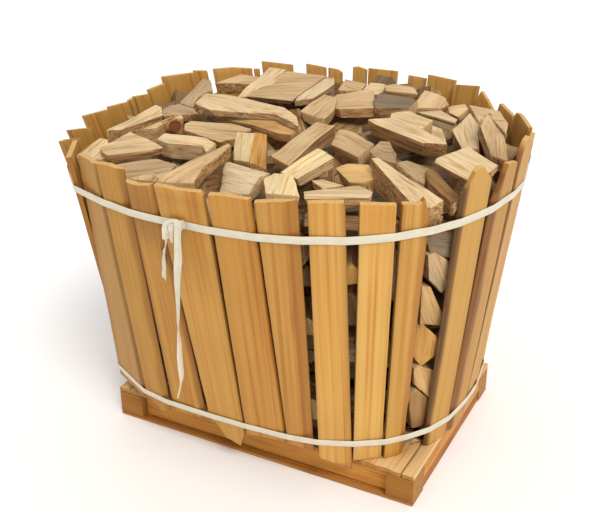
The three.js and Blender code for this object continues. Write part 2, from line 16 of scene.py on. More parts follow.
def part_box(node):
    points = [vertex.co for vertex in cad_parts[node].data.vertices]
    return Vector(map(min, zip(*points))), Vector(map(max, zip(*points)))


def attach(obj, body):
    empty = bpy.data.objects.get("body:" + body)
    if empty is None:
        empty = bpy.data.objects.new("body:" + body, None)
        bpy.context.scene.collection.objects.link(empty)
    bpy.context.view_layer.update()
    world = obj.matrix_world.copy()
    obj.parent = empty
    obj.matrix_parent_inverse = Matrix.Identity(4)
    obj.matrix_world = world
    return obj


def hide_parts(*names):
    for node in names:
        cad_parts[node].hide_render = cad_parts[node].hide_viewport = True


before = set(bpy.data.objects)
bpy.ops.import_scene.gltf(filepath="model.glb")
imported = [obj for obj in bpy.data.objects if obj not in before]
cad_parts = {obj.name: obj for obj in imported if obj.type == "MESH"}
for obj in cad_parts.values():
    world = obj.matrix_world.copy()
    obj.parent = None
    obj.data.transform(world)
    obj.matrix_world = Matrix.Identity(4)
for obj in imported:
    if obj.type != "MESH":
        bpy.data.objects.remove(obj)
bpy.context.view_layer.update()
print("CAD nodes:", len(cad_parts))

# %% Units and the pallet's middle
MM = 0.001
UP = Vector((0, 0, 1))
left_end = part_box("deck_strip_left")[0]
right_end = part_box("deck_strip_right")[1]
pallet_middle = Vector(((left_end.x + right_end.x) / 2, (left_end.y + right_end.y) / 2, 0))


def place(x, y, height):
    """A point given in millimetres from the pallet's middle, on the floor."""
    return pallet_middle + Vector((x, y, height)) * MM


print("pallet's middle:", tuple(round(c, 4) for c in pallet_middle))

# %% [markdown]
# The camera comes first, because the loose logs are laid out against the photograph. It could be
# aimed with a Track To constraint, but a matrix built from its angles says exactly where it stands, and
# the same three axes then turn a place in the picture into a line of sight.

# %% Camera
PICTURE_WIDTH = 600
PICTURE_HEIGHT = 512
SENSOR = 36
LENS = 56.46
azimuth = math.radians(27.9)
elevation = math.radians(25.0)
roll = math.radians(-0.52)
aim = place(-123, 182, 529)
camera_distance = 3.68


def new_object(name, data):
    """Adds an object with this data to the scene."""
    made = bpy.data.objects.new(name, data)
    bpy.context.scene.collection.objects.link(made)
    return made


level_right = Vector((math.cos(azimuth), math.sin(azimuth), 0))
camera_back = Vector((
    math.sin(azimuth) * math.cos(elevation),
    -math.cos(azimuth) * math.cos(elevation),
    math.sin(elevation),
))
level_up = camera_back.cross(level_right)
camera_right = level_right * math.cos(roll) + level_up * math.sin(roll)
camera_up = level_up * math.cos(roll) - level_right * math.sin(roll)
camera_place = aim + camera_back * camera_distance

camera = new_object("camera", bpy.data.cameras.new("camera"))
camera.data.sensor_width = SENSOR
camera.data.lens = LENS
turned = Matrix((camera_right, camera_up, camera_back)).transposed()
camera.matrix_world = Matrix.Translation(camera_place) @ turned.to_4x4()
bpy.context.scene.camera = camera
print("camera at", tuple(round(c, 3) for c in camera_place))


# %% Lines of sight
def sight(across, down):
    """The direction in which the camera sees a place of the picture, counted from its top left."""
    pixels_per_unit = LENS / SENSOR * PICTURE_WIDTH
    right = (across - PICTURE_WIDTH / 2) / pixels_per_unit
    up = (PICTURE_HEIGHT / 2 - down) / pixels_per_unit
    return camera_right * right + camera_up * up - camera_back


def seen_at(across, down, height):
    """The point at a height in millimetres that the camera sees at a place of the picture."""
    line = sight(across, down)
    return camera_place + line * ((height * MM - camera_place.z) / line.z)


print("middle of the picture at deck height:", seen_at(300, 256, 122))

# %% [markdown]
# The two loose ends of the upper strap are flat woven bands of one width that twist as they hang. A
# curve with a tilt could carry them, but a band whose rows of points are turned one by one keeps the
# thickness, the rounded selvedges and the folds under control.


# %% Bands from rows of points
def eased(rows, count):
    """Evenly many rows between hand-set ones, on a smooth curve through them."""
    rows = np.array(rows, float)
    padded_rows = np.vstack([2 * rows[0] - rows[1], rows, 2 * rows[-1] - rows[-2]])
    places = np.linspace(0, len(rows) - 1, count)
    steps = np.minimum(places.astype(int), len(rows) - 2)
    t = (places - steps)[:, None]
    a, b, c, d = (padded_rows[steps + k] for k in range(4))
    squared = (2 * a - 5 * b + 4 * c - d) * t ** 2
    cubed = (3 * b - a - 3 * c + d) * t ** 3
    return 0.5 * (2 * b + (c - a) * t + squared + cubed)


BAND_WIDTH = 26
BAND_THICKNESS = 2
BAND_COLUMNS = (-1, -0.94, -0.6, -0.3, 0, 0.3, 0.6, 0.94, 1)
SELVEDGE = 0.45
LEAST_ROWS = 6


def band(bm, rows, first_across, cup=1.5, spacing=4.0):
    """Adds a band to bm. rows: x, y, height, width and turn in degrees, from the pallet's middle.

    cup is how far the middle of the band stands in front of its selvedges, and spacing the distance
    between its rows, both in millimetres. Returns the middle line as points.
    """
    weave = bm.verts.layers.float_vector.get("weave") or bm.verts.layers.float_vector.new("weave")
    rough = np.array(rows, float)
    length = np.linalg.norm(np.diff(rough[:, :3], axis=0), axis=1).sum()
    line = eased(rows, max(LEAST_ROWS, int(length / spacing)))
    points = [place(*row[:3]) for row in line]
    across = Vector(first_across)
    loops = []
    travelled = 0
    for i, point in enumerate(points):
        ahead = (points[min(i + 1, len(points) - 1)] - points[max(i - 1, 0)]).normalized()
        across = (across - ahead * across.dot(ahead)).normalized()
        side = Matrix.Rotation(math.radians(line[i][4]), 3, ahead) @ across
        face = side.cross(ahead)
        half = line[i][3] / 2 * MM
        travelled += (point - points[i - 1]).length if i else 0
        loop = []
        for front in (1, -1):
            for column in BAND_COLUMNS[::front]:
                thin = SELVEDGE if abs(column) == 1 else 1
                lift = (0.5 - column ** 2) * cup + front * thin * BAND_THICKNESS / 2
                vert = bm.verts.new(point + side * column * half + face * lift * MM)
                vert[weave] = (travelled, column * half, 0)
                loop.append(vert)
        loops.append(loop)
    for before, after in zip(loops, loops[1:]):
        for k in range(len(before)):
            m = (k + 1) % len(before)
            bm.faces.new((before[k], before[m], after[m], after[k]))
    bm.faces.new(loops[0][::-1])
    bm.faces.new(loops[-1])
    return points


print("band:", BAND_WIDTH, "mm wide,", BAND_THICKNESS, "mm thick")


# %% Pieces in place of solids
def finish_mesh(bm, name, smooth_angle=40):
    """Turns a bmesh into an object at the origin, with its faces pointing out and soft edges smooth."""
    bmesh.ops.recalc_face_normals(bm, faces=bm.faces)
    mesh = bpy.data.meshes.new(name)
    bm.to_mesh(mesh)
    bm.free()
    if "custom_normal" in mesh.attributes:
        mesh.attributes.remove(mesh.attributes["custom_normal"])
    mesh.polygons.foreach_set("use_smooth", [True] * len(mesh.polygons))
    mesh.set_sharp_from_angle(angle=math.radians(smooth_angle))
    return new_object(name, mesh)


def stand_for(made, node, finish=None):
    """Lets a piece ride on the load in place of a node and the finish given."""
    if finish:
        made.data.materials.append(finish)
    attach(made, "root")
    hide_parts(node)
    print(f"{made.name}: {len(made.data.polygons)} faces")
    return made


# %% The loose ends of the upper strap
long_rows = [
    (-8, -766, 1048, 26, 12), (-10, -767, 1030, 28, 12), (-13, -767, 1000, 28, 13), (-15, -766, 968, 28, 8),
    (-17, -765, 936, 28, 4), (-22, -765, 905, 28, 6), (-25, -765, 876, 27, 12), (-27, -765, 842, 27, 20),
    (-28, -765, 806, 27, 27), (-30, -765, 772, 26, 34), (-32, -765, 742, 26, 41), (-35, -765, 712, 26, 50),
    (-35, -765, 683, 26, 68), (-34, -765, 656, 26, 82), (-35, -765, 625, 27, 88), (-36, -765, 596, 27, 91),
    (-35, -765, 565, 27, 89), (-34, -765, 540, 26, 87), (-35, -765, 524, 22, 82), (-40, -765, 508, 15, 70),
    (-47, -765, 482, 11, 60), (-56, -765, 453, 11, 58),
]
short_rows = [
    (-54, -762, 1014, 26, 40), (-57, -762, 998, 25, 44), (-60, -762, 976, 24, 52), (-66, -762, 954, 24, 70),
    (-69, -762, 930, 28, 44), (-71, -762, 905, 29, 34), (-72, -762, 886, 28, 38), (-73, -762, 874, 26, 30),
    (-75, -762, 859, 25, 34),
]


def loose_end(name, node, rows):
    """A free end of the strap, a band along its own middle line."""
    bm = bmesh.new()
    points = band(bm, rows, (1, 0, 0), cup=3)
    made = stand_for(finish_mesh(bm, name), node)
    length = sum((b - a).length for a, b in zip(points, points[1:]))
    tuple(points[0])
    [tuple(p) for p in points]
    print(f"{length:.3f} m long")
    return made


long_end = loose_end("long_loose_end", "tail_long", long_rows)
short_end = loose_end("short_loose_end", "tail_short", short_rows)

# %% [markdown]
# Every finish is made of shader nodes. Colours are written as sRGB hex values, as a colour picker shows
# them, and one function turns them into the linear numbers that shaders count in.


# %% Colours and nodes
def linear(hex_colour):
    """The linear red, green and blue of an sRGB hex colour, with full opacity."""
    channels = [int(hex_colour[i:i + 2], 16) / 255 for i in (1, 3, 5)]
    return (*[c / 12.92 if c <= 0.04045 else ((c + 0.055) / 1.055) ** 2.4 for c in channels], 1.0)


def add_node(tree, kind, settings=None, links=None):
    """Adds a node: settings are its properties or input values, links the outputs its inputs read."""
    node = tree.nodes.new(kind)
    for name, value in (settings or {}).items():
        if isinstance(name, str) and hasattr(node, name):
            setattr(node, name, value)
        else:
            node.inputs[name].default_value = value
    for name, source in (links or {}).items():
        tree.links.new(source, node.inputs[name])
    return node


def colour_steps(ramp, steps):
    """Sets a colour ramp's stops: (place, hex colour)."""
    stops = ramp.color_ramp.elements
    while len(stops) < len(steps):
        stops.new(1)
    for stop, (position, hex_colour) in zip(stops, steps):
        stop.position = position
        stop.color = linear(hex_colour)


def new_material(name):
    """An empty material and its tree."""
    made = bpy.data.materials.new(name)
    made.use_nodes = True
    made.node_tree.nodes.clear()
    return made, made.node_tree


print("honey, linear:", tuple(round(c, 3) for c in linear("#D9A350")))

# %% [markdown]
# Wood shows its fibres wherever it is cut, so every wooden piece carries three attributes. `grain` holds
# each point's place in the piece's own directions, across, along and deep, in metres, moved by a chance
# amount so that no two pieces repeat. `wood` is the piece's own colour, with painted shade on some pieces.
# `kind` tells sawn or split faces from sides, ends and bark; the brown of sides and rims is partly painted
# shade. A texture on Object coordinates would run straight through all the pieces.


# %% Wood fibres as nodes
END_GRAIN = 3


def fibre_noise(tree, grain, width, length, detail=3.0, roughness=0.55):
    """Noise drawn out along the fibres. width and length of its streaks are in millimetres."""
    stretch = (1 / (width * MM), 1 / (length * MM), 1 / (width * MM))
    mapped = add_node(tree, "ShaderNodeMapping", {"Scale": stretch}, {"Vector": grain})
    settings = {"Scale": 1.0, "Detail": detail, "Roughness": roughness}
    return add_node(tree, "ShaderNodeTexNoise", settings, {"Vector": mapped.outputs[0]}).outputs["Fac"]


def weighted(tree, parts):
    """Adds up outputs, each times its weight."""
    total = None
    for source, weight in parts:
        links = {0: source} if total is None else {0: source, 2: total}
        settings = {"operation": "MULTIPLY_ADD", 1: weight, 2: 0.0}
        total = add_node(tree, "ShaderNodeMath", settings, links).outputs[0]
    return total


def wood_material(name, streaks, tones, side, end, rough, relief, strength=0.6):
    """A wood finish from the three attributes.

    streaks: (width, length, weight) of each layer of fibres in millimetres. tones: what the fibres
    multiply the piece's colour by. side and end: colours that bark or weathered sides and cut ends
    turn to; the dark side colours are partly painted shade. relief: the depth of the fibres in millimetres.
    """
    made, tree = new_material(name)
    grain, wood, kind = (
        add_node(tree, "ShaderNodeAttribute", {"attribute_name": attribute}).outputs[output]
        for attribute, output in (("grain", "Vector"), ("wood", "Color"), ("kind", "Vector"))
    )
    shares = add_node(tree, "ShaderNodeSeparateXYZ", {}, {0: kind}).outputs
    layers = [(fibre_noise(tree, grain, width, length), weight) for width, length, weight in streaks]
    fibres = weighted(tree, layers)
    pores = fibre_noise(tree, grain, END_GRAIN, END_GRAIN)
    ramps = []
    for source, steps in ((fibres, tones), (fibres, side), (pores, end)):
        ramp = add_node(tree, "ShaderNodeValToRGB", {}, {"Fac": source})
        colour_steps(ramp, steps)
        ramps.append(ramp.outputs[0])
    base = add_node(
        tree, "ShaderNodeMix", {"data_type": "RGBA", "blend_type": "MULTIPLY", 0: 1.0},
        {6: wood, 7: ramps[0]},
    )
    with_sides = add_node(
        tree, "ShaderNodeMix", {"data_type": "RGBA"}, {0: shares[0], 6: base.outputs[2], 7: ramps[1]}
    )
    with_ends = add_node(
        tree, "ShaderNodeMix", {"data_type": "RGBA"}, {0: shares[1], 6: with_sides.outputs[2], 7: ramps[2]}
    )
    bump = add_node(
        tree, "ShaderNodeBump", {"Strength": strength, "Distance": relief * MM}, {"Height": fibres}
    )
    shader = add_node(
        tree, "ShaderNodeBsdfPrincipled", {"Roughness": rough, "IOR": 1.45},
        {"Base Color": with_ends.outputs[2], "Normal": bump.outputs[0]},
    )
    add_node(tree, "ShaderNodeOutputMaterial", {}, {"Surface": shader.outputs[0]})
    return made


# %% [markdown]
# The staves are slabs of a resinous softwood, sawn smooth: straight honey-coloured grain with a soft
# light and dark streak every few millimetres, and a silky, not glossy, face. Their narrow sides are
# painted dark brown, a painted shade for the gaps between them. The pallet is the same kind
# of wood, rougher and browner. The oak is split, not sawn: its pale faces are torn along the fibres, so
# the streaks are coarser and stand in relief, and its sides are brown, partly where they lay open to the
# weather and partly as painted shade.

# %% Wood finishes
stave_wood = wood_material(
    "sawn honey softwood",
    streaks=[(15, 1500, 0.5), (42, 1800, 0.35), (6, 700, 0.15)],
    tones=[(0.38, "#E4C592"), (0.46, "#F8EDD4"), (0.53, "#FFFCF6"), (0.6, "#FFFFFF")],
    # Dark brown narrow sides: a painted shade for the gaps between staves.
    side=[(0.42, "#6E4518"), (0.58, "#9C6A2E")],
    end=[(0.35, "#BE8C44"), (0.65, "#DDB878")],
    rough=0.55,
    relief=0.5,
)
pallet_wood = wood_material(
    "rough sawn pallet softwood",
    streaks=[(5, 400, 0.4), (16, 600, 0.36), (60, 200, 0.24)],
    tones=[(0.4, "#D8B98E"), (0.5, "#FEF4E2"), (0.6, "#FFFFFA")],
    side=[(0.42, "#8E5A26"), (0.58, "#B07840")],
    end=[(0.38, "#8E5E26"), (0.62, "#B9863F")],
    rough=0.7,
    relief=0.9,
)
split_oak = wood_material(
    "split oak",
    streaks=[(6, 160, 0.45), (17, 300, 0.33), (3, 80, 0.22)],
    tones=[(0.38, "#D6BC9A"), (0.47, "#F8F0E2"), (0.53, "#FFFEFB"), (0.6, "#FFFFFF")],
    # Brown sides: partly bark and weathering, partly painted shade.
    side=[(0.4, "#7A5530"), (0.5, "#A67B4B"), (0.6, "#C79D68")],
    end=[(0.36, "#B98D58"), (0.64, "#E2C294")],
    rough=0.82,
    relief=3.0,
    strength=0.9,
)
print("wood finishes:", stave_wood.name, "|", pallet_wood.name, "|", split_oak.name)

# %% [markdown]
# The strap is woven polyester, undyed: a dense cream twill with a faint slant in the weave and a slight
# sheen. The real threads are about half a millimetre apart, too fine to show here, so the slant is drawn
# every 3 mm. It follows the band, so it reads the band's own `weave` attribute.


# %% Strap finish
THREAD_SPACING = 3
THREAD_SLANT = 52


def strap_material():
    """The strap's finish: slanted twill over slightly soiled cream."""
    made, tree = new_material("woven polyester strap")
    weave = add_node(tree, "ShaderNodeAttribute", {"attribute_name": "weave"}).outputs["Vector"]
    threads = 1 / (THREAD_SPACING * MM)
    slanted = add_node(
        tree, "ShaderNodeMapping",
        {"Rotation": (0, 0, math.radians(THREAD_SLANT)), "Scale": (threads, threads, 1)}, {"Vector": weave},
    )
    twill = add_node(
        tree, "ShaderNodeTexWave", {"Scale": 0.314, "Distortion": 0.6, "Detail": 1.0},
        {"Vector": slanted.outputs[0]},
    ).outputs["Fac"]
    soil = add_node(tree, "ShaderNodeTexNoise", {"Scale": 28.0, "Detail": 3.0}, {"Vector": weave})
    ramp = add_node(tree, "ShaderNodeValToRGB", {}, {"Fac": soil.outputs["Fac"]})
    colour_steps(ramp, [(0.3, "#D8D2C0"), (0.7, "#E4DFD0")])
    shade = add_node(
        tree, "ShaderNodeMix", {"data_type": "RGBA", 6: linear("#EDE6D4"), 7: linear("#FFFFFF")}, {0: twill}
    )
    cloth = add_node(
        tree, "ShaderNodeMix", {"data_type": "RGBA", "blend_type": "MULTIPLY", 0: 1.0},
        {6: ramp.outputs[0], 7: shade.outputs[2]},
    )
    bump = add_node(tree, "ShaderNodeBump", {"Strength": 0.35, "Distance": 0.4 * MM}, {"Height": twill})
    shader = add_node(
        tree, "ShaderNodeBsdfPrincipled", {"Roughness": 0.6, "Sheen Weight": 0.15, "IOR": 1.5},
        {"Base Color": cloth.outputs[2], "Normal": bump.outputs[0]},
    )
    add_node(tree, "ShaderNodeOutputMaterial", {}, {"Surface": shader.outputs[0]})
    return made


woven_strap = strap_material()
for loose in (long_end, short_end):
    loose.data.materials.append(woven_strap)
print("strap finish:", woven_strap.name)

# %% [markdown]
# A stave or a board is a sawn slab whose edges are a little wavy and worn round. Its solid gives the true
# outline. It could be drawn anew, but a copy of the solid's mesh stays where the piece rests. The copy is
# merged, its edges are rounded with a bevel, it is cut into a fine grid along and across the wood, and its
# points are moved in by a millimetre or two here and there. Only inwards, which keeps neighbours apart.


# %% Copies, grids and round edges
SAME_POINT = 2e-5
FLAT_ANGLE = math.radians(1)
GRID_MARGIN = 0.15


def merged_copy(node):
    """A node's mesh as a bmesh with shared points and whole flat faces."""
    bm = bmesh.new()
    bm.from_mesh(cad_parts[node].data)
    bmesh.ops.remove_doubles(bm, verts=bm.verts, dist=SAME_POINT)
    bmesh.ops.dissolve_limit(bm, angle_limit=FLAT_ANGLE, verts=bm.verts, edges=bm.edges)
    bm.normal_update()
    return bm


def cut_grid(bm, origin, direction, spacing):
    """Cuts the mesh by planes across a direction, one every spacing millimetres."""
    step_length = spacing * MM
    extent = [(v.co - origin).dot(direction) for v in bm.verts]
    first = math.ceil(min(extent) / step_length + GRID_MARGIN)
    last = math.floor(max(extent) / step_length - GRID_MARGIN)
    for step in range(first, last + 1):
        bmesh.ops.bisect_plane(
            bm, geom=bm.verts[:] + bm.edges[:] + bm.faces[:], dist=1e-6,
            plane_co=origin + direction * (step * step_length), plane_no=direction,
        )


def round_edges(bm, edges, width, profile):
    """Bevels edges by a width in millimetres."""
    bmesh.ops.bevel(
        bm, geom=edges, offset=width * MM, segments=2, profile=profile, affect="EDGES", clamp_overlap=True,
    )


print("a grid stops", GRID_MARGIN, "of a step before an edge")


# %% A piece's own directions and fibres
GRAIN_REACH = 9


def chance_shift():
    """A chance move of a piece's grain, in metres, so that no two pieces repeat."""
    return Vector([random.uniform(-GRAIN_REACH, GRAIN_REACH) for _ in range(3)])


def fibre_wave(local, crosswise, lengthwise, shift):
    """Smooth chance from -1 to 1 at a place of a piece. Its waves are counted per metre."""
    x, y, z = local
    return noise.noise(Vector((x * crosswise, y * lengthwise, z * crosswise)) + shift)


def own_directions(bm):
    """A long piece's middle and its directions: across, along and through its largest face."""
    places = np.array([v.co for v in bm.verts])
    middle = Vector(places.mean(axis=0))
    broad = max(bm.faces, key=lambda f: f.calc_area()).normal.copy()
    longest = max(bm.edges, key=lambda e: e.calc_length())
    along = (longest.verts[0].co - longest.verts[1].co).normalized()
    along = (along - broad * along.dot(broad)).normalized()
    if along.z < 0 or (abs(along.z) < 0.1 and along.x + along.y < 0):
        along = -along
    across = along.cross(broad).normalized()
    return middle, across, along, broad


def set_wood(obj, origin, axes, shift, tones, kinds):
    """Writes the attributes grain, wood and kind.

    tones gives the colours from the points' places and normals in the piece's own directions, the
    places in millimetres. kinds gives a face's kind from its normal.
    """
    mesh = obj.data
    axes = np.array(axes)
    places = np.array([v.co - origin for v in mesh.vertices]) @ axes.T
    normals = np.array([v.normal for v in mesh.vertices]) @ axes.T
    colours = tones(places / MM, normals)
    opaque = np.hstack([np.clip(colours, 0, 1), np.ones((len(places), 1))])
    grain = mesh.attributes.new("grain", "FLOAT_VECTOR", "POINT")
    grain.data.foreach_set("vector", (places + np.array(shift)).ravel())
    wood = mesh.attributes.new("wood", "FLOAT_COLOR", "POINT")
    wood.data.foreach_set("color", opaque.ravel())
    kind = mesh.attributes.new("kind", "FLOAT_VECTOR", "FACE")
    kind.data.foreach_set("vector", np.array([kinds(face.normal) for face in mesh.polygons]).ravel())


print("grains start up to", GRAIN_REACH, "m apart")

# %% A sawn piece
CORNER_ANGLE = math.radians(35)
FACING = 0.8


def sawn_piece(name, node, spacing, waves, tones, finish, rounding, side=0.0):
    """A sawn piece in place of its node.

    spacing: of the grid, along and across. waves: how far in. rounding: of its edges. side: how much
    its narrow side faces turn to the colour of sides, for the staves a painted shade. All lengths are in
    millimetres.
    """
    bm = merged_copy(node)
    middle, across, along, through = own_directions(bm)
    if across.dot(camera_right) < 0:
        across = -across
    if through.dot(middle - pallet_middle) < 0:
        through = -through
    round_edges(bm, [e for e in bm.edges if e.calc_face_angle(0) > CORNER_ANGLE], rounding, 0.5)
    cut_grid(bm, middle, along, spacing[0])
    cut_grid(bm, middle, across, spacing[1])
    bm.normal_update()
    shift = chance_shift()
    normals = {v: v.normal.copy() for v in bm.verts}
    for vert in bm.verts:
        offset = vert.co - middle
        local = [offset.dot(direction) for direction in (across, along, through)]
        depth = 0.5 + 0.5 * fibre_wave(local, 9, 7, shift) + 0.3 * fibre_wave(local, 60, 22, shift)
        vert.co -= normals[vert] * max(depth, 0) * waves * MM
    made = finish_mesh(bm, name)

    def kinds(normal):
        """Cut ends face along the piece, narrow sides across it."""
        if abs(normal.dot(along)) > FACING:
            return (0, 1, 0)
        return (side if abs(normal.dot(across)) > FACING else 0, 0, 0)

    set_wood(made, middle, (across, along, through), shift, tones, kinds)
    return stand_for(made, node, finish)


# %% [markdown]
# Staves. Their colours run from olive honey on the shaded left to a warmer orange on some at the right.
# Each is painted a little darker along its edges, a painted shade for its rounded edges and the dark gaps
# between staves, and some have a strip of bare wane, the rounded outside of the trunk, down one side,
# painted darker, partly its own colour and partly painted shade. Painting this on the points, once the
# piece's own width is known at every height, keeps it with the piece; a texture would not find the leaning
# edges.


# %% Shading of a stave
USUAL_STAVE_WIDTH = 140
EDGE_SHADE = 0.2
EDGE_SHADE_WIDTH = 7
WANE_BLEND = 14
EDGE_BANDS = 12


def stave_edges(places):
    """How far each point is from the left and from the right edge of its stave."""
    x, y = places[:, 0], places[:, 1]
    steps = np.linspace(y.min(), y.max(), EDGE_BANDS + 1)
    heights = (steps[1:] + steps[:-1]) / 2
    bands = [x[(y >= low) & (y <= high)] for low, high in zip(steps, steps[1:])]
    left = np.interp(y, heights, [band_x.min() for band_x in bands])
    right = np.interp(y, heights, [band_x.max() for band_x in bands])
    return x - left, right - x


def mixed_colours(colours, target, share):
    """Colours of points, each turned by its share to a hex colour."""
    return colours + (np.array(linear(target)[:3]) - colours) * share[:, None]


def stave_tones(number, tone, inner):
    """The shading of one stave. tone and inner: the colours of its outer and its inner face."""
    def tones(places, normals):
        """Colours from the face, painted shade near an edge, the wanes with their painted shade, and the
        marks.
        """
        colours = np.tile(np.array(linear(tone)[:3]), (len(places), 1))
        colours = mixed_colours(colours, inner, np.clip(-normals[:, 2] * 1.5, 0, 1))
        from_left, from_right = stave_edges(places)
        edge = np.clip(np.minimum(from_left, from_right), 0, None)
        y = places[:, 1]
        slow = np.array([noise.noise(Vector((number * 3.7, height / 160, 0))) for height in y])
        # Painted shade along the edges, and a slow random change of tone.
        colours *= (1 - EDGE_SHADE * np.exp(-edge / EDGE_SHADE_WIDTH) + 0.05 * slow)[:, None]
        width = from_left + from_right
        # Wanes: darker strips, partly the wane's own colour and partly painted shade on the rounded side.
        for side, share, colour in wanes_and_shade.get(number, []):
            from_edge = from_right if side > 0 else from_left
            depth = share * width * (1 + 0.35 * slow) - from_edge
            colours = mixed_colours(colours, colour, np.clip(depth / WANE_BLEND + 0.5, 0, 1))
        # Marks: darker patches; one of them is a painted shadow of the long loose end.
        for across, height, half_width, half_height, colour in marks_and_shadow.get(number, []):
            far = ((from_left / width - across) * USUAL_STAVE_WIDTH / half_width) ** 2
            far += ((y - y.min() - height) / half_height) ** 2
            colours = mixed_colours(colours, colour, np.exp(-far ** 2) * 0.8)
        return colours
    return tones


# %% Staves
STAVE_COUNT = 36
FRONT_STAVES = 13
random.seed(7)
honeys = ["#C7933F", "#C38E3A", "#CB9A48", "#BE8936", "#CC974A"]
# The staves in front have colours of their own, and how far their narrow faces are painted dark: a
# painted shade for the gaps between staves. A wane is its side, its share of the width and its colour; the
# dark wanes are partly the wane's own colour and partly painted shade. A mark is its place as a share of
# the width and a height, its half width and half height, and its colour; one on stave 4 is a painted shadow.
stave_colours = {
    1: "#C0861C", 2: "#B07E24", 3: "#B8872C", 4: "#BC8930", 5: "#C4913D", 6: "#BF8936", 7: "#BE8C3E",
    8: "#CF9E4E", 9: "#D4A556", 10: "#C49547", 11: "#C29446", 12: "#BE8E42", 13: "#C4944A",
}
# How far each stave's narrow faces are painted dark: a painted shade for the gaps between staves.
painted_side_shade = {4: 0.5, 5: 0.6, 6: 0.4, 8: 0.5, 9: 0.5, 10: 0.5, 11: 0.45, 12: 0.6, 13: 0.5}
wanes_and_shade = {
    2: [(1, 0.12, "#8F6421")], 3: [(1, 0.2, "#9E6C22")], 4: [(-1, 0.13, "#9E6C22"), (1, 0.12, "#935F1C")],
    7: [(1, 0.33, "#A8742A")], 8: [(1, 0.08, "#A7742C")], 10: [(1, 0.32, "#B07624")],
    11: [(-1, 0.13, "#5E3E1A")], 12: [(-1, 0.34, "#8A5A22")], 13: [(-1, 0.1, "#8A5C24")],
}
marks_and_shadow = {
    3: [(0.3, 60, 60, 50, "#AE7A2E")],
    # Stave 4's broad second mark, high up, is a painted shadow of the long loose end hanging in front of it.
    4: [(0.86, 790, 9, 42, "#4A2C10"), (0.45, 930, 90, 130, "#9C6A20")],
    5: [(0.5, 1068, 200, 16, "#B07A30")],
    8: [(0.5, 8, 160, 26, "#9A6A30")],
    9: [(0.5, 1020, 150, 80, "#C98F3E")],
}
for number in range(1, STAVE_COUNT + 1):
    tone = stave_colours.get(number, honeys[number % len(honeys)])
    inner = "#BF9048" if number > FRONT_STAVES else "#BC8C44"
    sawn_piece(
        f"stave_slab_{number:02d}", f"stave_{number:02d}", spacing=(30, 9), waves=1.6,
        tones=stave_tones(number, tone, inner), finish=stave_wood, rounding=3.4,
        side=painted_side_shade.get(number, 0.25),
    )

# %% [markdown]
# Pallet. Its boards, rails, blocks and skids are made in the same way as the staves, with a coarser wave,
# because they are cheap wood, dry and bumped. Each kind of part has one colour, browner near the floor;
# the lower header board is painted darker as a painted shade.

# %% Pallet
# The lower header board is painted darker than the upper one: a painted shade for the recessed lower band.
pallet_colours_and_shade = {
    "skid_": "#A97534", "block_": "#9A6820", "rail_": "#C88F40", "header_upper": "#CC9448",
    "header_lower": "#AC6F28", "deck_": "#DDBB88",
}


def plain_tones(tone):
    """The shading of a board: its colour, darker along a few slow streaks."""
    def tones(places, _normals):
        """Colours from the place alone."""
        slow = np.array([noise.noise(Vector((x / 70, y / 260, 5))) for x, y in places[:, :2]])
        return np.array(linear(tone)[:3]) * (1 + 0.12 * slow)[:, None]
    return tones


for node in sorted(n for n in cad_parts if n.startswith(tuple(pallet_colours_and_shade))):
    tone = next(colour for start, colour in pallet_colours_and_shade.items() if node.startswith(start))
    sawn_piece(
        f"worn_{node}", node, spacing=(36, 14), waves=2.0, tones=plain_tones(tone), finish=pallet_wood,
        rounding=2.6,
    )

# %% [markdown]
# Straps. Each is one flat band pulled tight round all the staves, so it touches them only at their edges
# and leans with them. That is a shape that follows a path: Geometry Nodes sweep a flat section along it.
# The path is read from the strap's own solid: its upper and its lower outer outline, seen from above.


# %% The path of a strap
def outer_outline(node, upper):
    """The corners of a strap's outer edge, seen from above, and their height."""
    points = {tuple(round(c, 6) for c in v.co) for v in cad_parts[node].data.vertices}
    middle = sum(p[2] for p in points) / len(points)
    rim = sorted(p for p in points if (p[2] > middle) == upper)

    def half(ordered):
        """The corners on one side of the hull, by dropping every corner that turns inwards."""
        kept = []
        for p in ordered:
            while len(kept) > 1:
                a, b = kept[-2], kept[-1]
                if (b[0] - a[0]) * (p[1] - a[1]) - (b[1] - a[1]) * (p[0] - a[0]) > 1e-9:
                    break
                kept.pop()
            kept.append(p)
        return kept[:-1]

    # The rim is walked there and back, which gives both sides of the hull.
    return half(rim) + half(rim[::-1]), rim[0][2]


def reach(outline, angle):
    """How far an outline lies from the pallet's middle in a direction."""
    toward = Vector((math.cos(angle), math.sin(angle)))
    for a, b in zip(outline, outline[1:] + outline[:1]):
        p = Vector(a[:2]) - pallet_middle.xy
        q = Vector(b[:2]) - pallet_middle.xy
        side_p = toward.x * p.y - toward.y * p.x
        side_q = toward.x * q.y - toward.y * q.x
        if side_p <= 0 < side_q and p.dot(toward) + q.dot(toward) > 0:
            return p.lerp(q, -side_p / (side_q - side_p)).length
    return 0.0


def strap_path(node, count):
    """The band's middle line and its lean at each point."""
    upper, high = outer_outline(node, True)
    lower, low = outer_outline(node, False)
    line, leans = [], []
    for step in range(count):
        angle = 2 * math.pi * step / count
        far, near = reach(upper, angle), reach(lower, angle)
        radius = (far + near) / 2 - BAND_THICKNESS / 2 * MM
        direction = Vector((math.cos(angle), math.sin(angle), 0))
        line.append(pallet_middle + direction * radius + UP * ((high + low) / 2))
        leans.append(math.atan2(far - near, high - low))
    return line, leans


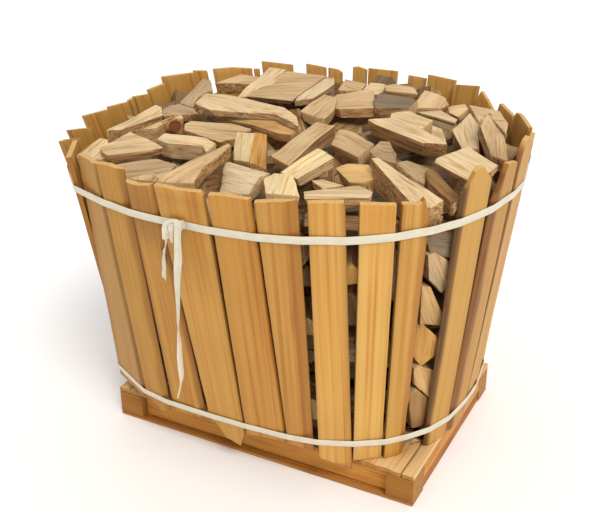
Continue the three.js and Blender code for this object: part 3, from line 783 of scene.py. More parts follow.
# %% Trees of Geometry Nodes
def open_tree(name, inputs):
    """A new tree with a geometry input, inputs by name and type, and a finish. Returns it and these."""
    tree = bpy.data.node_groups.new(name, "GeometryNodeTree")
    for label, kind in {"Geometry": "Geometry", **inputs, "Finish": "Material"}.items():
        tree.interface.new_socket(label, in_out="INPUT", socket_type="NodeSocket" + kind)
    tree.interface.new_socket("Geometry", in_out="OUTPUT", socket_type="NodeSocketGeometry")
    return tree, add_node(tree, "NodeGroupInput").outputs


def close_tree(tree, given, geometry):
    """Ends a tree: instances made real, the finish set, and the result handed out."""
    real = add_node(tree, "GeometryNodeRealizeInstances", {}, {"Geometry": geometry})
    dressed = add_node(
        tree, "GeometryNodeSetMaterial", {}, {"Geometry": real.outputs[0], "Material": given["Finish"]}
    )
    add_node(tree, "NodeGroupOutput", {}, {"Geometry": dressed.outputs[0]})


def evaluated_piece(name, carrier_mesh, tree, inputs):
    """Runs a tree on a mesh and keeps the result as a plain mesh."""
    carrier = new_object(name + "_carrier", carrier_mesh)
    modifier = carrier.modifiers.new(name, "NODES")
    modifier.node_group = tree
    for item in tree.interface.items_tree:
        if item.in_out == "INPUT" and item.name in inputs:
            modifier[item.identifier] = inputs[item.name]
    evaluated = carrier.evaluated_get(bpy.context.evaluated_depsgraph_get())
    mesh = bpy.data.meshes.new_from_object(evaluated)
    mesh.name = name
    bpy.data.objects.remove(carrier)
    return new_object(name, mesh)


# %% The sweep as Geometry Nodes
def strap_tree():
    """A flat section swept along a leaning path, with its place along and across kept for the weave."""
    tree, given = open_tree("flat strap", {"Width": "Float", "Thickness": "Float", "Waviness": "Float"})
    lean = add_node(tree, "GeometryNodeInputNamedAttribute", {"data_type": "FLOAT", "Name": "lean"})
    curve = add_node(tree, "GeometryNodeMeshToCurve", {}, {"Mesh": given["Geometry"]})
    upright = add_node(tree, "GeometryNodeSetCurveNormal", {"mode": "Z_UP"}, {"Curve": curve.outputs[0]})
    leaning = add_node(
        tree, "GeometryNodeSetCurveTilt", {}, {"Curve": upright.outputs[0], "Tilt": lean.outputs[0]}
    )
    here = add_node(tree, "GeometryNodeInputPosition")
    ripple = add_node(
        tree, "ShaderNodeTexNoise", {"Scale": 7.0, "Detail": 2.0}, {"Vector": here.outputs[0]}
    )
    centred = add_node(
        tree, "ShaderNodeMath", {"operation": "SUBTRACT", 1: 0.5}, {0: ripple.outputs["Fac"]}
    )
    rise = add_node(
        tree, "ShaderNodeMath", {"operation": "MULTIPLY"}, {0: centred.outputs[0], 1: given["Waviness"]}
    )
    lift = add_node(tree, "ShaderNodeCombineXYZ", {}, {"Z": rise.outputs[0]})
    wavy = add_node(
        tree, "GeometryNodeSetPosition", {}, {"Geometry": leaning.outputs[0], "Offset": lift.outputs[0]}
    )
    along = add_node(tree, "GeometryNodeSplineParameter")
    lengthwise = add_node(
        tree, "GeometryNodeCaptureAttribute", {"domain": "POINT"}, {"Geometry": wavy.outputs[0]}
    )
    lengthwise.capture_items.new("FLOAT", "Along")
    tree.links.new(along.outputs["Length"], lengthwise.inputs["Along"])

    section = add_node(
        tree, "GeometryNodeCurvePrimitiveQuadrilateral", {},
        {"Width": given["Thickness"], "Height": given["Width"]},
    )
    soft = add_node(
        tree, "GeometryNodeFilletCurve", {"mode": "POLY", "Count": 3, "Radius": 0.8 * MM},
        {"Curve": section.outputs[0]},
    )
    place_in_section = add_node(tree, "GeometryNodeInputPosition")
    split = add_node(tree, "ShaderNodeSeparateXYZ", {}, {0: place_in_section.outputs[0]})
    crosswise = add_node(
        tree, "GeometryNodeCaptureAttribute", {"domain": "POINT"}, {"Geometry": soft.outputs[0]}
    )
    crosswise.capture_items.new("FLOAT", "Across")
    tree.links.new(split.outputs["Y"], crosswise.inputs["Across"])

    swept = add_node(
        tree, "GeometryNodeCurveToMesh", {},
        {"Curve": lengthwise.outputs[0], "Profile Curve": crosswise.outputs[0]},
    )
    both = add_node(
        tree, "ShaderNodeCombineXYZ", {},
        {"X": lengthwise.outputs["Along"], "Y": crosswise.outputs["Across"]},
    )
    stored = add_node(
        tree, "GeometryNodeStoreNamedAttribute",
        {"data_type": "FLOAT_VECTOR", "domain": "POINT", "Name": "weave"},
        {"Geometry": swept.outputs[0], "Value": both.outputs[0]},
    )
    close_tree(tree, given, stored.outputs[0])
    return tree


# %% Straps
sweep = strap_tree()
PULLED_WIDTH = BAND_WIDTH + 1.5
WAVINESS = 5


def strap(name, node, count):
    """A strap in place of its node, from so many points round the load."""
    line, leans = strap_path(node, count)
    path = bpy.data.meshes.new(name + "_path")
    path.from_pydata(line, [(i, (i + 1) % count) for i in range(count)], [])
    path.attributes.new("lean", "FLOAT", "POINT").data.foreach_set("value", leans)
    made = evaluated_piece(name, path, sweep, {
        "Width": PULLED_WIDTH * MM, "Thickness": BAND_THICKNESS * MM, "Waviness": WAVINESS * MM,
        "Finish": woven_strap,
    })
    made.data.polygons.foreach_set("use_smooth", [True] * len(made.data.polygons))
    made.data.set_sharp_from_angle(angle=math.radians(50))
    stand_for(made, node)
    past = [max(v.co[k] for v in made.data.vertices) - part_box(node)[1][k] for k in range(3)]
    print("past its solid by", [round(length / MM, 1) for length in past], "mm")


strap("upper_strap", "strap_upper", 420)
strap("lower_strap", "strap_lower", 340)

# %% [markdown]
# The knot is the same band: a rounded loop over the strap, one leg of which goes into each loose end,
# and a short fold that hangs between them. One long band could be tied for real, but it would pinch where
# it turns back on itself. So each part is a run of band of its own, and the four are joined in one mesh.

# %% Knot
short_leg = [
    (-57, -760, 990, 24, 44), (-58, -761, 1008, 22, 40), (-59, -762, 1024, 18, 34), (-54, -763, 1038, 15, 20),
    (-44, -764, 1046, 13, 10), (-30, -764, 1052, 13, 4), (-16, -764, 1053, 14, 0), (-6, -763, 1048, 16, -10),
]
over = [
    (-44, -751, 1036, 25, 0), (-34, -758, 1038, 27, 0), (-16, -758, 1038, 27, 0), (-4, -751, 1036, 25, 0),
]
fold = [
    (-34, -758, 1048, 22, 0), (-37, -761, 1034, 21, 6), (-39, -761, 1010, 18, 12), (-40, -759, 980, 9, 22),
]
long_leg = [
    (-10, -753, 1030, 24, 10), (-9, -757, 1050, 27, 10), (-8, -763, 1058, 28, 11), (-8, -767, 1054, 28, 12),
    (-9, -767, 1040, 28, 12),
]
knot_mesh = bmesh.new()
for run, first_across in ((short_leg, (1, 0, 0)), (over, UP), (fold, (1, 0, 0)), (long_leg, (1, 0, 0))):
    band(knot_mesh, run, first_across, cup=2.5, spacing=2.5)
stand_for(finish_mesh(knot_mesh, "tied_knot"), "knot", woven_strap)

# %% [markdown]
# Split logs. A chunk of oak splits along its fibres, so it is a prism with flat torn sides and two sawn
# ends. Logs could all be thrown at random, but the ones on top can be told apart, so each is drawn one by
# one: the corners of its upper side, as (across, down) in the picture with a height in millimetres, its
# thickness, two corners that give the run of its fibres, its colour, and how brown its narrow sides are.
# The corners land where the line of sight meets their height.

# %% The walls that the logs lie behind
wall_points, wall_normals = [], []
for number in range(1, STAVE_COUNT + 1):
    slab = merged_copy(f"stave_{number:02d}")
    outward = Vector(np.array([v.co for v in slab.verts]).mean(axis=0)) - pallet_middle
    outward.z = 0
    inner = max((f for f in slab.faces if f.normal.dot(outward) < 0), key=lambda f: f.calc_area())
    wall_points.append(inner.calc_center_median())
    wall_normals.append(inner.normal.copy())
    slab.free()
wall_points = np.array(wall_points)
wall_normals = np.array(wall_normals)
DECK_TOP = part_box("deck_board_3")[1].z
LOG_GAP = 2 * MM


def depth_inside(points):
    """How far each point is inside the walls, for every wall. Negative is outside."""
    return np.einsum("pwk,wk->pw", points[:, None, :] - wall_points[None], wall_normals)


def keep_inside(points, gap):
    """Moves points that reach into a wall or the deck back to a small gap before it."""
    for _ in range(3):
        depth = depth_inside(points)
        worst = depth.argmin(axis=1)
        missing = np.maximum(gap - depth[np.arange(len(points)), worst], 0)
        points = points + wall_normals[worst] * missing[:, None]
    points[:, 2] = np.maximum(points[:, 2], DECK_TOP + gap)
    return points


print("walls:", len(wall_points))

# %% One split log
SPLIT_FACING = 0.92
RIM_FACING = 0.5
END_FACING = 0.75
# How far the rim round a split face turns brown: a painted shade along the edge.
RIM_PAINTED_SHADE = 0.85
LIGHTNESS = (0.92, 1.06)
oak_colours = {
    "pale": "#DCC39A", "tan": "#CFB187", "honey": "#CBA36C", "gold": "#D8B275", "white": "#DDC8A6",
    "cream": "#E3CC9C", "amber": "#CE9C54", "grey": "#B39A76", "brown": "#9E784C", "weathered": "#8A7760",
    "knot": "#7A3F14",
}
LOG_GRID = (15, 5.5, 8)
LOG_ROUNDING = 3.6
LOG_TAPER = 0.08


def split_log(bm, corners, thickness, fibre, colour, bark_and_shade=0.6, deep=-UP):
    """Adds a log to bm, from the corners of its seen side, counted round it.

    fibre: two corners that give the run of its fibres. The argument after colour says how brown its narrow
    sides are, from bark and weathering and partly as painted shade. deep: the direction away from the seen
    side.
    """
    grain = bm.verts.layers.float_vector["grain"]
    wood = bm.verts.layers.float_color["wood"]
    kind = bm.faces.layers.float_vector["kind"]
    log = bmesh.new()
    middle = sum(corners, Vector()) / len(corners)
    sag = Vector((random.uniform(-8, 8), random.uniform(-8, 8), 0)) * MM
    under = [c.lerp(middle, LOG_TAPER + random.uniform(-0.05, 0.05)) for c in corners]
    top = [log.verts.new(c) for c in corners]
    bottom = [log.verts.new(c + deep * thickness * MM + sag) for c in under]
    log.faces.new(top)
    log.faces.new(bottom[::-1])
    for i in range(len(top)):
        j = (i + 1) % len(top)
        log.faces.new((top[j], top[i], bottom[i], bottom[j]))
    bmesh.ops.recalc_face_normals(log, faces=log.faces)
    log.normal_update()
    upward = max(log.faces, key=lambda f: -f.normal.dot(deep)).normal.copy()
    along = corners[fibre[1]] - corners[fibre[0]]
    along = (along - upward * along.dot(upward)).normalized()
    across = along.cross(upward).normalized()
    round_edges(log, log.edges[:], LOG_ROUNDING, 0.6)
    for direction, spacing in zip((along, across, upward), LOG_GRID):
        cut_grid(log, middle, direction, spacing)
    log.normal_update()
    shift = chance_shift()
    moved = []
    for vert in log.verts:
        local = vert.co - middle
        g = Vector((local.dot(across), local.dot(along), local.dot(upward)))
        torn = fibre_wave(g, 62, 4, shift)
        ridges = fibre_wave(g, 130, 8, shift)
        swell = fibre_wave(g, 12, 8, shift)
        facing_end = abs(vert.normal.dot(along))
        amount = ((2.2 * torn + 0.9 * ridges) * (1 - facing_end) + 5.5 * swell) * MM
        mottle = 1 + 0.16 * swell + 0.14 * torn
        moved.append((vert, vert.co + vert.normal * amount, g + shift, mottle))
    places = keep_inside(np.array([p for _, p, *_ in moved]), LOG_GAP)
    shade = linear(oak_colours[colour])
    lightness = random.uniform(*LIGHTNESS)
    copies = {}
    for (vert, _, g, mottle), spot in zip(moved, places):
        copy = bm.verts.new(spot)
        copy[grain] = g
        copy[wood] = (*[min(c * lightness * mottle, 1) for c in shade[:3]], 1)
        copies[vert] = copy
    for face in log.faces:
        copy = bm.faces.new([copies[v] for v in face.verts])
        up_share = face.normal.dot(upward)
        end = 1 if abs(face.normal.dot(along)) > END_FACING else 0
        # A split face keeps its colour; the rim round it is painted brown, a painted shade along the edge;
        # narrow sides turn brown, partly for bark and weathering and partly as painted shade.
        if up_share > SPLIT_FACING:
            copy[kind] = (0, 0, 0)
        elif up_share > RIM_FACING:
            copy[kind] = (RIM_PAINTED_SHADE, 0, 0)
        else:
            copy[kind] = (min(0.2 + 1.2 * bark_and_shade, 1) * (1 - 0.6 * end), end * 0.75, 0)
    log.free()


print("oak colours:", len(oak_colours))


# %% A mesh for logs
def new_logs():
    """An empty bmesh that can carry the three wood attributes."""
    bm = bmesh.new()
    bm.verts.layers.float_vector.new("grain")
    bm.verts.layers.float_color.new("wood")
    bm.faces.layers.float_vector.new("kind")
    return bm


def log_mesh(table):
    """One mesh of all the logs of a table."""
    bm = new_logs()
    for corners, thickness, fibre, colour, bark_and_shade in table:
        split_log(bm, [seen_at(*corner) for corner in corners], thickness, fibre, colour, bark_and_shade)
    return bm


def finish_logs(bm, name):
    """Turns a mesh of logs into one piece of the load."""
    return stand_for(finish_mesh(bm, name, smooth_angle=38), "firewood", split_oak)


print("edges of a log are rounded by", LOG_ROUNDING, "mm")

# %% The logs on top at the picture's left
left_logs = [
    ([(73, 157, 1128), (100, 138, 1150), (107, 140, 1150), (112, 158, 1120), (100, 161, 1112)],
     30, (0, 1), "pale", 0.5),
    ([(99, 148, 1150), (130, 131, 1182), (164, 147, 1160), (150, 151, 1150), (107, 155, 1142),
      (102, 153, 1142)], 24, (4, 3), "pale", 0.7),
    ([(107, 130, 1128), (156, 105, 1150), (162, 107, 1150), (163, 115, 1138), (120, 130, 1125)],
     45, (0, 1), "pale", 0.6),
    ([(134, 130, 1122), (181, 114, 1138), (184, 118, 1130), (170, 120, 1126), (156, 128, 1118)],
     60, (0, 1), "tan", 0.35),
    ([(185, 124, 1130), (191, 121, 1135), (232, 123, 1140), (252, 129, 1132), (236, 139, 1105),
      (220, 142, 1100), (184, 130, 1118)], 30, (0, 3), "tan", 0.9),
    ([(195, 103, 1180), (205, 93, 1195), (224, 93, 1200), (284, 107, 1190), (296, 117, 1172),
      (299, 127, 1150), (291, 122, 1160), (275, 114, 1170), (255, 113, 1165), (210, 110, 1168)],
     22, (1, 3), "pale", 0.4),
    ([(210, 113, 1140), (254, 112, 1160), (276, 113, 1165), (300, 128, 1140), (291, 135, 1120),
      (280, 134, 1118), (249, 124, 1130), (232, 121, 1130)], 30, (0, 3), "honey", 0.4),
    ([(180, 103, 1120), (203, 78, 1160), (211, 79, 1160), (212, 91, 1150), (198, 98, 1140),
      (193, 108, 1120)], 30, (0, 1), "grey", 0.5),
    ([(162, 107, 1120), (179, 103, 1128), (194, 108, 1125), (199, 114, 1115), (163, 116, 1108)],
     25, (0, 3), "grey", 0.7),
    ([(214, 83, 1140), (241, 74, 1160), (263, 76, 1160), (261, 83, 1150), (251, 84, 1148), (234, 83, 1144)],
     42, (0, 2), "tan", 1.0),
    ([(236, 97, 1150), (269, 67, 1185), (287, 69, 1185), (275, 83, 1175), (249, 96, 1155)],
     30, (0, 1), "pale", 0.5),
    ([(245, 96, 1170), (258, 87, 1180), (273, 83, 1185), (287, 71, 1200), (326, 76, 1195), (299, 95, 1175),
      (293, 101, 1168)], 22, (0, 5), "tan", 0.4),
    ([(299, 95, 1172), (326, 76, 1192), (335, 77, 1170), (335, 84, 1155), (313, 98, 1150), (294, 101, 1160)],
     25, (0, 1), "white", 0.3),
    ([(233, 160, 1130), (237, 132, 1160), (254, 133, 1178), (249, 162, 1150)], 60, (0, 1), "cream", 0.2),
    ([(254, 133, 1178), (267, 134, 1150), (267, 169, 1105), (249, 162, 1150)], 50, (0, 3), "amber", 0.3),
    ([(225, 162, 1150), (271, 173, 1150), (262, 179, 1138), (249, 195, 1100), (219, 193, 1085),
      (221, 177, 1110)], 40, (0, 1), "white", 0.5),
    ([(263, 178, 1150), (274, 172, 1158), (292, 174, 1158), (300, 196, 1140), (265, 193, 1140)],
     35, (1, 4), "cream", 0.5),
    ([(124, 179, 1135), (149, 173, 1150), (170, 171, 1158), (189, 160, 1170), (228, 142, 1190),
      (232, 146, 1185), (203, 169, 1165), (193, 183, 1150), (163, 182, 1142), (149, 180, 1138)],
     34, (3, 4), "tan", 0.8),
    ([(113, 165, 1120), (156, 158, 1135), (177, 164, 1130), (170, 171, 1122), (124, 180, 1105)],
     30, (0, 1), "grey", 0.8),
    ([(156, 139, 1132), (165, 133, 1142), (206, 138, 1148), (216, 143, 1140), (206, 152, 1125),
      (203, 146, 1132), (167, 143, 1130)], 55, (1, 2), "pale", 0.25),
]
print("logs drawn by eye:", len(left_logs))

# %% The logs on top at the picture's right
right_logs = [
    ([(300, 111, 1140), (324, 93, 1160), (337, 97, 1158), (335, 109, 1140), (325, 119, 1120),
      (316, 118, 1122)], 40, (0, 1), "tan", 0.5),
    ([(337, 94, 1150), (374, 92, 1160), (374, 108, 1140), (339, 109, 1138), (326, 104, 1140)],
     35, (0, 1), "tan", 0.7),
    ([(372, 100, 1160), (382, 93, 1175), (413, 97, 1175), (418, 101, 1165), (409, 108, 1150),
      (376, 108, 1148)], 40, (0, 3), "weathered", 0.9),
    ([(384, 85, 1165), (394, 84, 1172), (413, 87, 1172), (418, 94, 1160), (386, 91, 1155)],
     25, (0, 2), "tan", 1.0),
    ([(362, 90, 1140), (370, 83, 1155), (386, 84, 1158), (385, 90, 1150), (378, 94, 1142), (345, 93, 1138)],
     25, (1, 2), "pale", 0.5),
    ([(345, 78, 1150), (366, 84, 1145), (361, 91, 1130), (338, 90, 1130)], 30, (0, 1), "tan", 0.5),
    ([(407, 108, 1140), (418, 100, 1152), (425, 90, 1165), (445, 97, 1160), (449, 105, 1148),
      (442, 108, 1142)], 25, (0, 2), "tan", 0.8),
    ([(417, 112, 1140), (441, 110, 1150), (458, 119, 1140), (455, 123, 1132), (436, 117, 1138)],
     15, (0, 2), "pale", 0.6),
    ([(423, 129, 1120), (431, 125, 1128), (442, 129, 1125), (448, 147, 1095), (440, 142, 1100)],
     30, (0, 3), "white", 0.2),
    ([(447, 106, 1130), (465, 104, 1140), (468, 109, 1132), (458, 117, 1120), (450, 113, 1126)],
     20, (0, 1), "tan", 0.6),
    ([(368, 120, 1168), (390, 117, 1175), (391, 113, 1182), (410, 110, 1186), (433, 120, 1180),
      (421, 129, 1168), (447, 144, 1155), (423, 143, 1152), (375, 124, 1165)], 52, (8, 7), "pale", 1.0),
    ([(331, 144, 1130), (339, 129, 1155), (355, 132, 1158), (375, 143, 1145), (366, 152, 1125),
      (358, 157, 1115)], 35, (1, 3), "tan", 0.5),
    ([(369, 151, 1140), (380, 141, 1160), (390, 141, 1160), (396, 153, 1140), (398, 164, 1115),
      (388, 162, 1118), (374, 156, 1130)], 60, (0, 3), "grey", 0.8),
    ([(271, 156, 1140), (290, 141, 1152), (316, 122, 1170), (336, 125, 1168), (313, 143, 1150),
      (289, 166, 1128)], 45, (0, 2), "tan", 0.6),
    ([(280, 172, 1140), (318, 148, 1165), (335, 157, 1158), (297, 179, 1132)], 32, (0, 1), "cream", 0.4),
    ([(311, 180, 1120), (322, 179, 1122), (345, 185, 1118), (323, 189, 1110)], 25, (0, 2), "pale", 0.4),
    ([(303, 191, 1128), (359, 184, 1140), (374, 191, 1132), (370, 198, 1122), (304, 199, 1118)],
     22, (0, 2), "pale", 0.4),
    ([(335, 168, 1130), (348, 163, 1140), (369, 164, 1145), (376, 178, 1125), (364, 183, 1115),
      (349, 182, 1115)], 40, (1, 2), "gold", 0.5),
    ([(371, 158, 1182), (378, 157, 1182), (458, 209, 1112), (433, 220, 1076), (411, 203, 1120)],
     85, (1, 2), "pale", 0.9),
    ([(396, 162, 1120), (407, 160, 1125), (431, 168, 1120), (425, 185, 1085), (413, 178, 1100)],
     20, (0, 3), "grey", 0.5),
    ([(425, 170, 1120), (433, 168, 1125), (464, 200, 1110), (461, 208, 1100), (452, 202, 1095),
      (429, 183, 1105)], 45, (1, 2), "brown", 0.9),
    ([(434, 162, 1150), (436, 158, 1155), (468, 146, 1182), (506, 170, 1165), (500, 180, 1150),
      (472, 183, 1140)], 18, (0, 5), "pale", 0.8),
    ([(480, 125, 1190), (488, 114, 1200), (504, 135, 1182), (509, 162, 1150), (491, 157, 1135)],
     45, (1, 4), "tan", 0.8),
    ([(469, 105, 1150), (500, 111, 1155), (508, 124, 1140), (506, 134, 1125), (490, 116, 1140),
      (479, 122, 1130)], 25, (0, 1), "tan", 0.5),
    ([(452, 130, 1140), (470, 113, 1170), (479, 124, 1160), (479, 149, 1120), (461, 148, 1115)],
     30, (1, 3), "pale", 0.8),
]
print("logs drawn by eye:", len(right_logs))


# %% The top of the heap
def round_end(bm, middle, radius, length, toward, colour):
    """Adds a round branch to bm: a knotty end that faces the picture, and its length behind that."""
    right = camera_right.copy()
    up = right.cross(toward).normalized()
    sides = 12
    angles = [2 * math.pi * k / sides for k in range(sides)]
    corners = [middle + (right * math.cos(a) + up * math.sin(a) * 0.9) * radius * MM for a in angles]
    split_log(bm, corners, length, (0, sides // 2), colour, bark_and_shade=1.0, deep=-toward)


random.seed(21)
left_mesh = log_mesh(left_logs)
knot_toward = (camera_back + camera_right * 0.5).normalized()
round_end(left_mesh, seen_at(175.4, 125.8, 1122), radius=24, length=90, toward=knot_toward, colour="knot")
left_heap = finish_logs(left_mesh, "top_logs_left")
right_heap = finish_logs(log_mesh(right_logs), "top_logs_right")

# %% [markdown]
# In one wide gap between two staves the logs can be told apart too. They lie against the wall, so their
# corners land where the line of sight meets the wall's inner face, moved in by a few millimetres.


# %% The logs in the wide gap
def gap_wall(number):
    """A point of the wall's inner face in the gap after a stave, and the direction into the load."""
    point = Vector((wall_points[number - 1] + wall_points[number]) / 2)
    return point, Vector(wall_normals[number - 1] + wall_normals[number]).normalized()


def seen_in_gap(across, down, inside, number):
    """The point that the camera sees behind the gap after a stave, so far inside the wall."""
    point, inward = gap_wall(number)
    line = sight(across, down)
    distance = (point + inward * inside * MM - camera_place).dot(inward)
    return camera_place + line * (distance / line.dot(inward))


gap_logs = [
    (10, [(426, 238, 12), (437, 233, 6), (456, 234, 6), (470, 240, 14), (468, 252, 16), (450, 258, 8),
          (430, 254, 14)], 120, (0, 3), "weathered", 0.9),
    (10, [(428, 256, 4), (437, 253, 4), (452, 263, 10), (452, 287, 12), (441, 294, 4), (429, 281, 2)],
     130, (1, 3), "tan", 0.7),
    (10, [(422, 286, 10), (431, 287, 4), (446, 321, 4), (440, 326, 8), (420, 325, 16)],
     110, (1, 2), "honey", 0.5),
    (10, [(416, 330, 14), (425, 325, 4), (442, 343, 3), (441, 350, 6), (421, 367, 8), (412, 356, 18)],
     120, (1, 4), "amber", 0.6),
    (10, [(414, 369, 10), (421, 366, 4), (438, 371, 3), (435, 403, 6), (424, 392, 8), (414, 384, 14)],
     110, (1, 3), "honey", 0.7),
    (10, [(408, 396, 12), (417, 391, 3), (430, 400, 5), (426, 424, 8), (412, 428, 10)],
     110, (1, 4), "brown", 0.6),
    (10, [(404, 446, 12), (415, 439, 4), (427, 442, 6), (426, 455, 8), (406, 458, 14)],
     90, (1, 3), "pale", 0.6),
    (8, [(345, 268, 10), (352, 265, 3), (360, 270, 6), (361, 284, 8), (346, 286, 10)],
     120, (1, 3), "amber", 0.6),
    (8, [(346, 296, 30), (353, 294, 26), (361, 300, 30), (360, 326, 32), (347, 326, 34)],
     110, (1, 3), "brown", 0.8),
    (7, [(300, 321, 22), (308, 318, 14), (316, 324, 18), (314, 336, 20), (302, 335, 24)],
     110, (1, 3), "tan", 0.6),
    (7, [(306, 402, 20), (313, 399, 12), (320, 404, 16), (319, 420, 18), (308, 419, 22)],
     110, (1, 3), "tan", 0.6),
    (9, [(388, 262, 16), (396, 256, 6), (404, 262, 8), (402, 300, 12), (390, 300, 16)],
     110, (1, 3), "grey", 0.8),
]
gap_mesh = new_logs()
for number, corners, thickness, fibre, colour, bark_and_shade in gap_logs:
    corners = [seen_in_gap(*corner, number) for corner in corners]
    split_log(gap_mesh, corners, thickness, fibre, colour, bark_and_shade, deep=gap_wall(number)[1])
gap_heap = finish_logs(gap_mesh, "gap_logs")

# %% [markdown]
# The logs between and below fill the tub in all directions. There are hundreds, seen only through gaps,
# so each has few faces, and Geometry Nodes place them: a point for every log, one of a few shapes on it.
# The points are thrown at random inside the walls, and a point counts only where its log fits. In the
# outer layer each point is first pushed outwards to a few millimetres from a wall, as loose logs lie against
# the staves.

# %% A few plain log shapes
filler_sections = [
    [(-0.5, -0.42), (0.5, -0.5), (0.34, 0.42), (-0.3, 0.5)],
    [(-0.5, -0.4), (0.5, -0.36), (0.12, 0.5), (-0.1, 0.46)],
    [(-0.5, -0.3), (0.1, -0.5), (0.5, -0.1), (0.3, 0.42), (-0.36, 0.4)],
    [(-0.46, -0.5), (0.5, -0.3), (0.46, 0.1), (0.05, 0.5), (-0.5, 0.2)],
    [(-0.5, -0.5), (0.5, -0.36), (0.3, 0.2), (-0.2, 0.5)],
]


def filler_shape(index, section):
    """A log one unit long, wide and thick, with its fibres along X, worn round at its ends."""
    bm = new_logs()
    grain = bm.verts.layers.float_vector["grain"]
    kind = bm.faces.layers.float_vector["kind"]
    rings = []
    for along, size in ((-0.5, 0.93), (-0.485, 1.0), (-0.15, 1.03), (0.2, 0.98), (0.485, 0.94), (0.5, 0.87)):
        bow = 0.05 * math.cos(along * 3 + index)
        ring = []
        for y, z in section:
            vert = bm.verts.new((along, y * size + bow, z * size + random.uniform(-0.02, 0.02)))
            vert[grain] = (y * 0.09, along * 0.22, z * 0.07)
            ring.append(vert)
        rings.append(ring)
    for before, after in zip(rings, rings[1:]):
        for k in range(len(before)):
            m = (k + 1) % len(before)
            face = bm.faces.new((before[k], before[m], after[m], after[k]))
            face[kind] = (0.75 if k == index % len(before) else 0.15, 0, 0)
    for cap in (rings[0][::-1], rings[-1]):
        bm.faces.new(cap)[kind] = (0, 0.7, 0)
    shape = finish_mesh(bm, f"log_shape_{index}")
    bpy.context.scene.collection.objects.unlink(shape)
    return shape


random.seed(5)
shapes = bpy.data.collections.new("log shapes")
for index, section in enumerate(filler_sections):
    shapes.objects.link(filler_shape(index, section))


# %% Where the fillers lie
LOAD_RADIUS = 0.74
SIGHT_REACH = 0.6
TRIES_PER_LOG = 60


def box_lattice(size, turn, steps):
    """Points of a turned box round the origin: its corners with steps (-1, 1), more with (-1, 0, 1)."""
    signs = np.array([(a, b, c) for a in steps for b in steps for c in steps]) / 2
    return np.array([turn @ Vector(s * size) for s in signs])


def shown_logs():
    """The logs that were drawn one by one, to test lines of sight against."""
    points, faces = [], []
    for made in (left_heap, right_heap, gap_heap):
        faces += [[i + len(points) for i in face.vertices] for face in made.data.polygons]
        points += [vert.co.copy() for vert in made.data.vertices]
    return BVHTree.FromPolygons(points, faces)


shown = shown_logs()


def hides_shown(points):
    """Whether one of the points stands between the photograph's view and a log drawn one by one."""
    for point in points:
        line = Vector(point) - camera_place
        if shown.ray_cast(Vector(point), line.normalized(), SIGHT_REACH)[0] is not None:
            return True
    return False


def scatter(count, low, high, spacing, wall_bound):
    """Throws logs between two heights, their middles so far apart. wall_bound: against the staves."""
    placed = []
    for _ in range(TRIES_PER_LOG * count):
        if len(placed) == count:
            break
        angle = random.uniform(0, 2 * math.pi)
        radius = LOAD_RADIUS * math.sqrt(random.uniform(0.25 if wall_bound else 0, 1))
        spot = pallet_middle + Vector((radius * math.cos(angle), radius * math.sin(angle), 0))
        spot.z = random.uniform(low, high) * MM
        size = np.array((random.uniform(190, 270), random.uniform(75, 120), random.uniform(55, 90))) * MM
        turn = Matrix.Rotation(random.uniform(0, 2 * math.pi), 3, "Z")
        turn = turn @ Matrix.Rotation(math.radians(random.gauss(0, 16)), 3, "Y")
        turn = turn @ Matrix.Rotation(random.uniform(0, 2 * math.pi), 3, "X")
        corners = box_lattice(size * 0.96, turn, (-1, 1))
        room = depth_inside(corners + np.array(spot)).min(axis=0)
        wall = int(room.argmin())
        if wall_bound:
            spot = spot - Vector(wall_normals[wall]) * (room[wall] - random.uniform(3, 16) * MM)
            room = depth_inside(corners + np.array(spot)).min(axis=0)
        if room.min() < LOG_GAP or spot.z + corners[:, 2].min() < DECK_TOP + LOG_GAP:
            continue
        if any((spot - other).length < spacing * MM for other, *_ in placed):
            continue
        if hides_shown(box_lattice(size, turn, (-1, -0.35, 0.35, 1)) + np.array(spot)):
            continue
        placed.append((spot, size, turn.to_euler()))
    print("logs placed:", len(placed))
    return placed


random.seed(11)
wall_layer = scatter(count=330, low=150, high=1050, spacing=84, wall_bound=True)
heap_layer = scatter(count=190, low=1000, high=1084, spacing=84, wall_bound=False)
core_layer = scatter(count=260, low=150, high=960, spacing=110, wall_bound=False)


# %% Fillers as Geometry Nodes
def filler_tree():
    """One of the log shapes on every point, turned and sized by the point's attributes."""
    tree, given = open_tree("loose logs", {"Log shapes": "Collection", "Seed": "Int"})
    turn, size = (
        add_node(tree, "GeometryNodeInputNamedAttribute", {"data_type": "FLOAT_VECTOR", "Name": label})
        for label in ("turn", "size")
    )
    logs = add_node(
        tree, "GeometryNodeCollectionInfo", {"Separate Children": True, "Reset Children": True},
        {"Collection": given["Log shapes"]},
    )
    pick = add_node(
        tree, "FunctionNodeRandomValue", {"data_type": "INT", 4: 0, 5: len(filler_sections) - 1},
        {"Seed": given["Seed"]},
    )
    tone = add_node(
        tree, "FunctionNodeRandomValue", {"data_type": "FLOAT", 2: 0.0, 3: 1.0}, {"Seed": given["Seed"]}
    )
    marked = add_node(
        tree, "GeometryNodeStoreNamedAttribute", {"data_type": "FLOAT", "domain": "POINT", "Name": "tone"},
        {"Geometry": given["Geometry"], "Value": tone.outputs[1]},
    )
    placed = add_node(
        tree, "GeometryNodeInstanceOnPoints", {"Pick Instance": True},
        {"Points": marked.outputs[0], "Instance": logs.outputs[0], "Instance Index": pick.outputs[2],
         "Rotation": turn.outputs[0], "Scale": size.outputs[0]},
    )
    close_tree(tree, given, placed.outputs[0])
    return tree


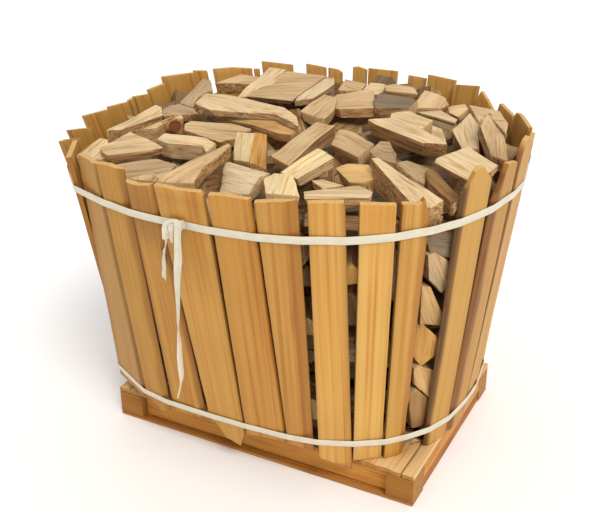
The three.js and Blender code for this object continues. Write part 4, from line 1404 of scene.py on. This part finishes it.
def tint_fillers(mesh, light):
    """Gives each filler its colour and its own stretch of grain, from the random number it carries.

    light: how much of their full brightness the darkest and the lightest ones have, lowered for the deeper
    layers as a painted shade.
    """
    tones = [linear(oak_colours[name])[:3] for name in ("pale", "tan", "honey", "grey", "brown", "tan")]
    tone, wood, grain = (mesh.attributes[label].data for label in ("tone", "wood", "grain"))
    for i in range(len(mesh.vertices)):
        value = tone[i].value
        shade = tones[int(value * len(tones)) % len(tones)]
        strength = light[0] + (light[1] - light[0]) * ((value * 37) % 1)
        wood[i].color = (*[min(c * strength, 1) for c in shade], 1)
        grain[i].vector = Vector(grain[i].vector) + Vector((value * 9, value * 31 % 7, value * 3))


loose_logs = filler_tree()
# The deeper the logs of a layer lie, the darker they are painted: a painted shade for the light that does not
# reach them.
layers = (
    ("wall_logs", wall_layer, 3, (0.35, 0.7)), ("heap_logs", heap_layer, 4, (0.14, 0.4)),
    ("core_logs", core_layer, 5, (0.12, 0.3)),
)
for name, placed, seed, light in layers:
    spots, extents, turns = zip(*placed)
    cloud = bpy.data.meshes.new(name + "_points")
    cloud.from_pydata(spots, [], [])
    for label, values in (("turn", turns), ("size", extents)):
        column = cloud.attributes.new(label, "FLOAT_VECTOR", "POINT")
        column.data.foreach_set("vector", np.array(values).ravel())
    heap = evaluated_piece(name, cloud, loose_logs, {"Log shapes": shapes, "Seed": seed, "Finish": split_oak})
    tint_fillers(heap.data, light)
    stand_for(heap, "firewood")
bpy.data.collections.remove(shapes)

# %% [markdown]
# A plain pale floor and soft studio light: one wide soft lamp, far off at the right front, and an even
# pale surround. Area lamps close by would leave the far floor grey.

# %% Floor and light
FLOOR_REACH = 40
floor_mesh = bmesh.new()
bmesh.ops.create_grid(floor_mesh, x_segments=1, y_segments=1, size=FLOOR_REACH)
floor = finish_mesh(floor_mesh, "floor")
floor_paint, floor_tree = new_material("pale studio floor")
floor_shader = add_node(
    floor_tree, "ShaderNodeBsdfPrincipled", {"Base Color": linear("#FFFFFF"), "Roughness": 0.9}
)
add_node(floor_tree, "ShaderNodeOutputMaterial", {}, {"Surface": floor_shader.outputs[0]})
floor.data.materials.append(floor_paint)


def soft_sun(name, bearing, height, strength, softness, colour):
    """A distant lamp: bearing anticlockwise from +X and height above the floor, in degrees."""
    light = bpy.data.lights.new(name, "SUN")
    light.energy = strength
    light.angle = math.radians(softness)
    light.color = linear(colour)[:3]
    flat = math.cos(math.radians(height))
    side = math.radians(bearing)
    toward = Vector((math.cos(side) * flat, math.sin(side) * flat, math.sin(math.radians(height))))
    new_object(name, light).matrix_world = (-toward).to_track_quat("-Z", "Y").to_matrix().to_4x4()


soft_sun("key_light", bearing=-40, height=48, strength=1.75, softness=22, colour="#FFFCF7")

world = bpy.data.worlds.new("pale surround")
world.use_nodes = True
bpy.context.scene.world = world
surround = world.node_tree.nodes["Background"]
surround.inputs["Color"].default_value = linear("#FAFAFA")
surround.inputs["Strength"].default_value = 0.78
bpy.context.scene.view_settings.view_transform = "Standard"
print("floor:", 2 * FLOOR_REACH, "m wide; surround strength:", surround.inputs["Strength"].default_value)
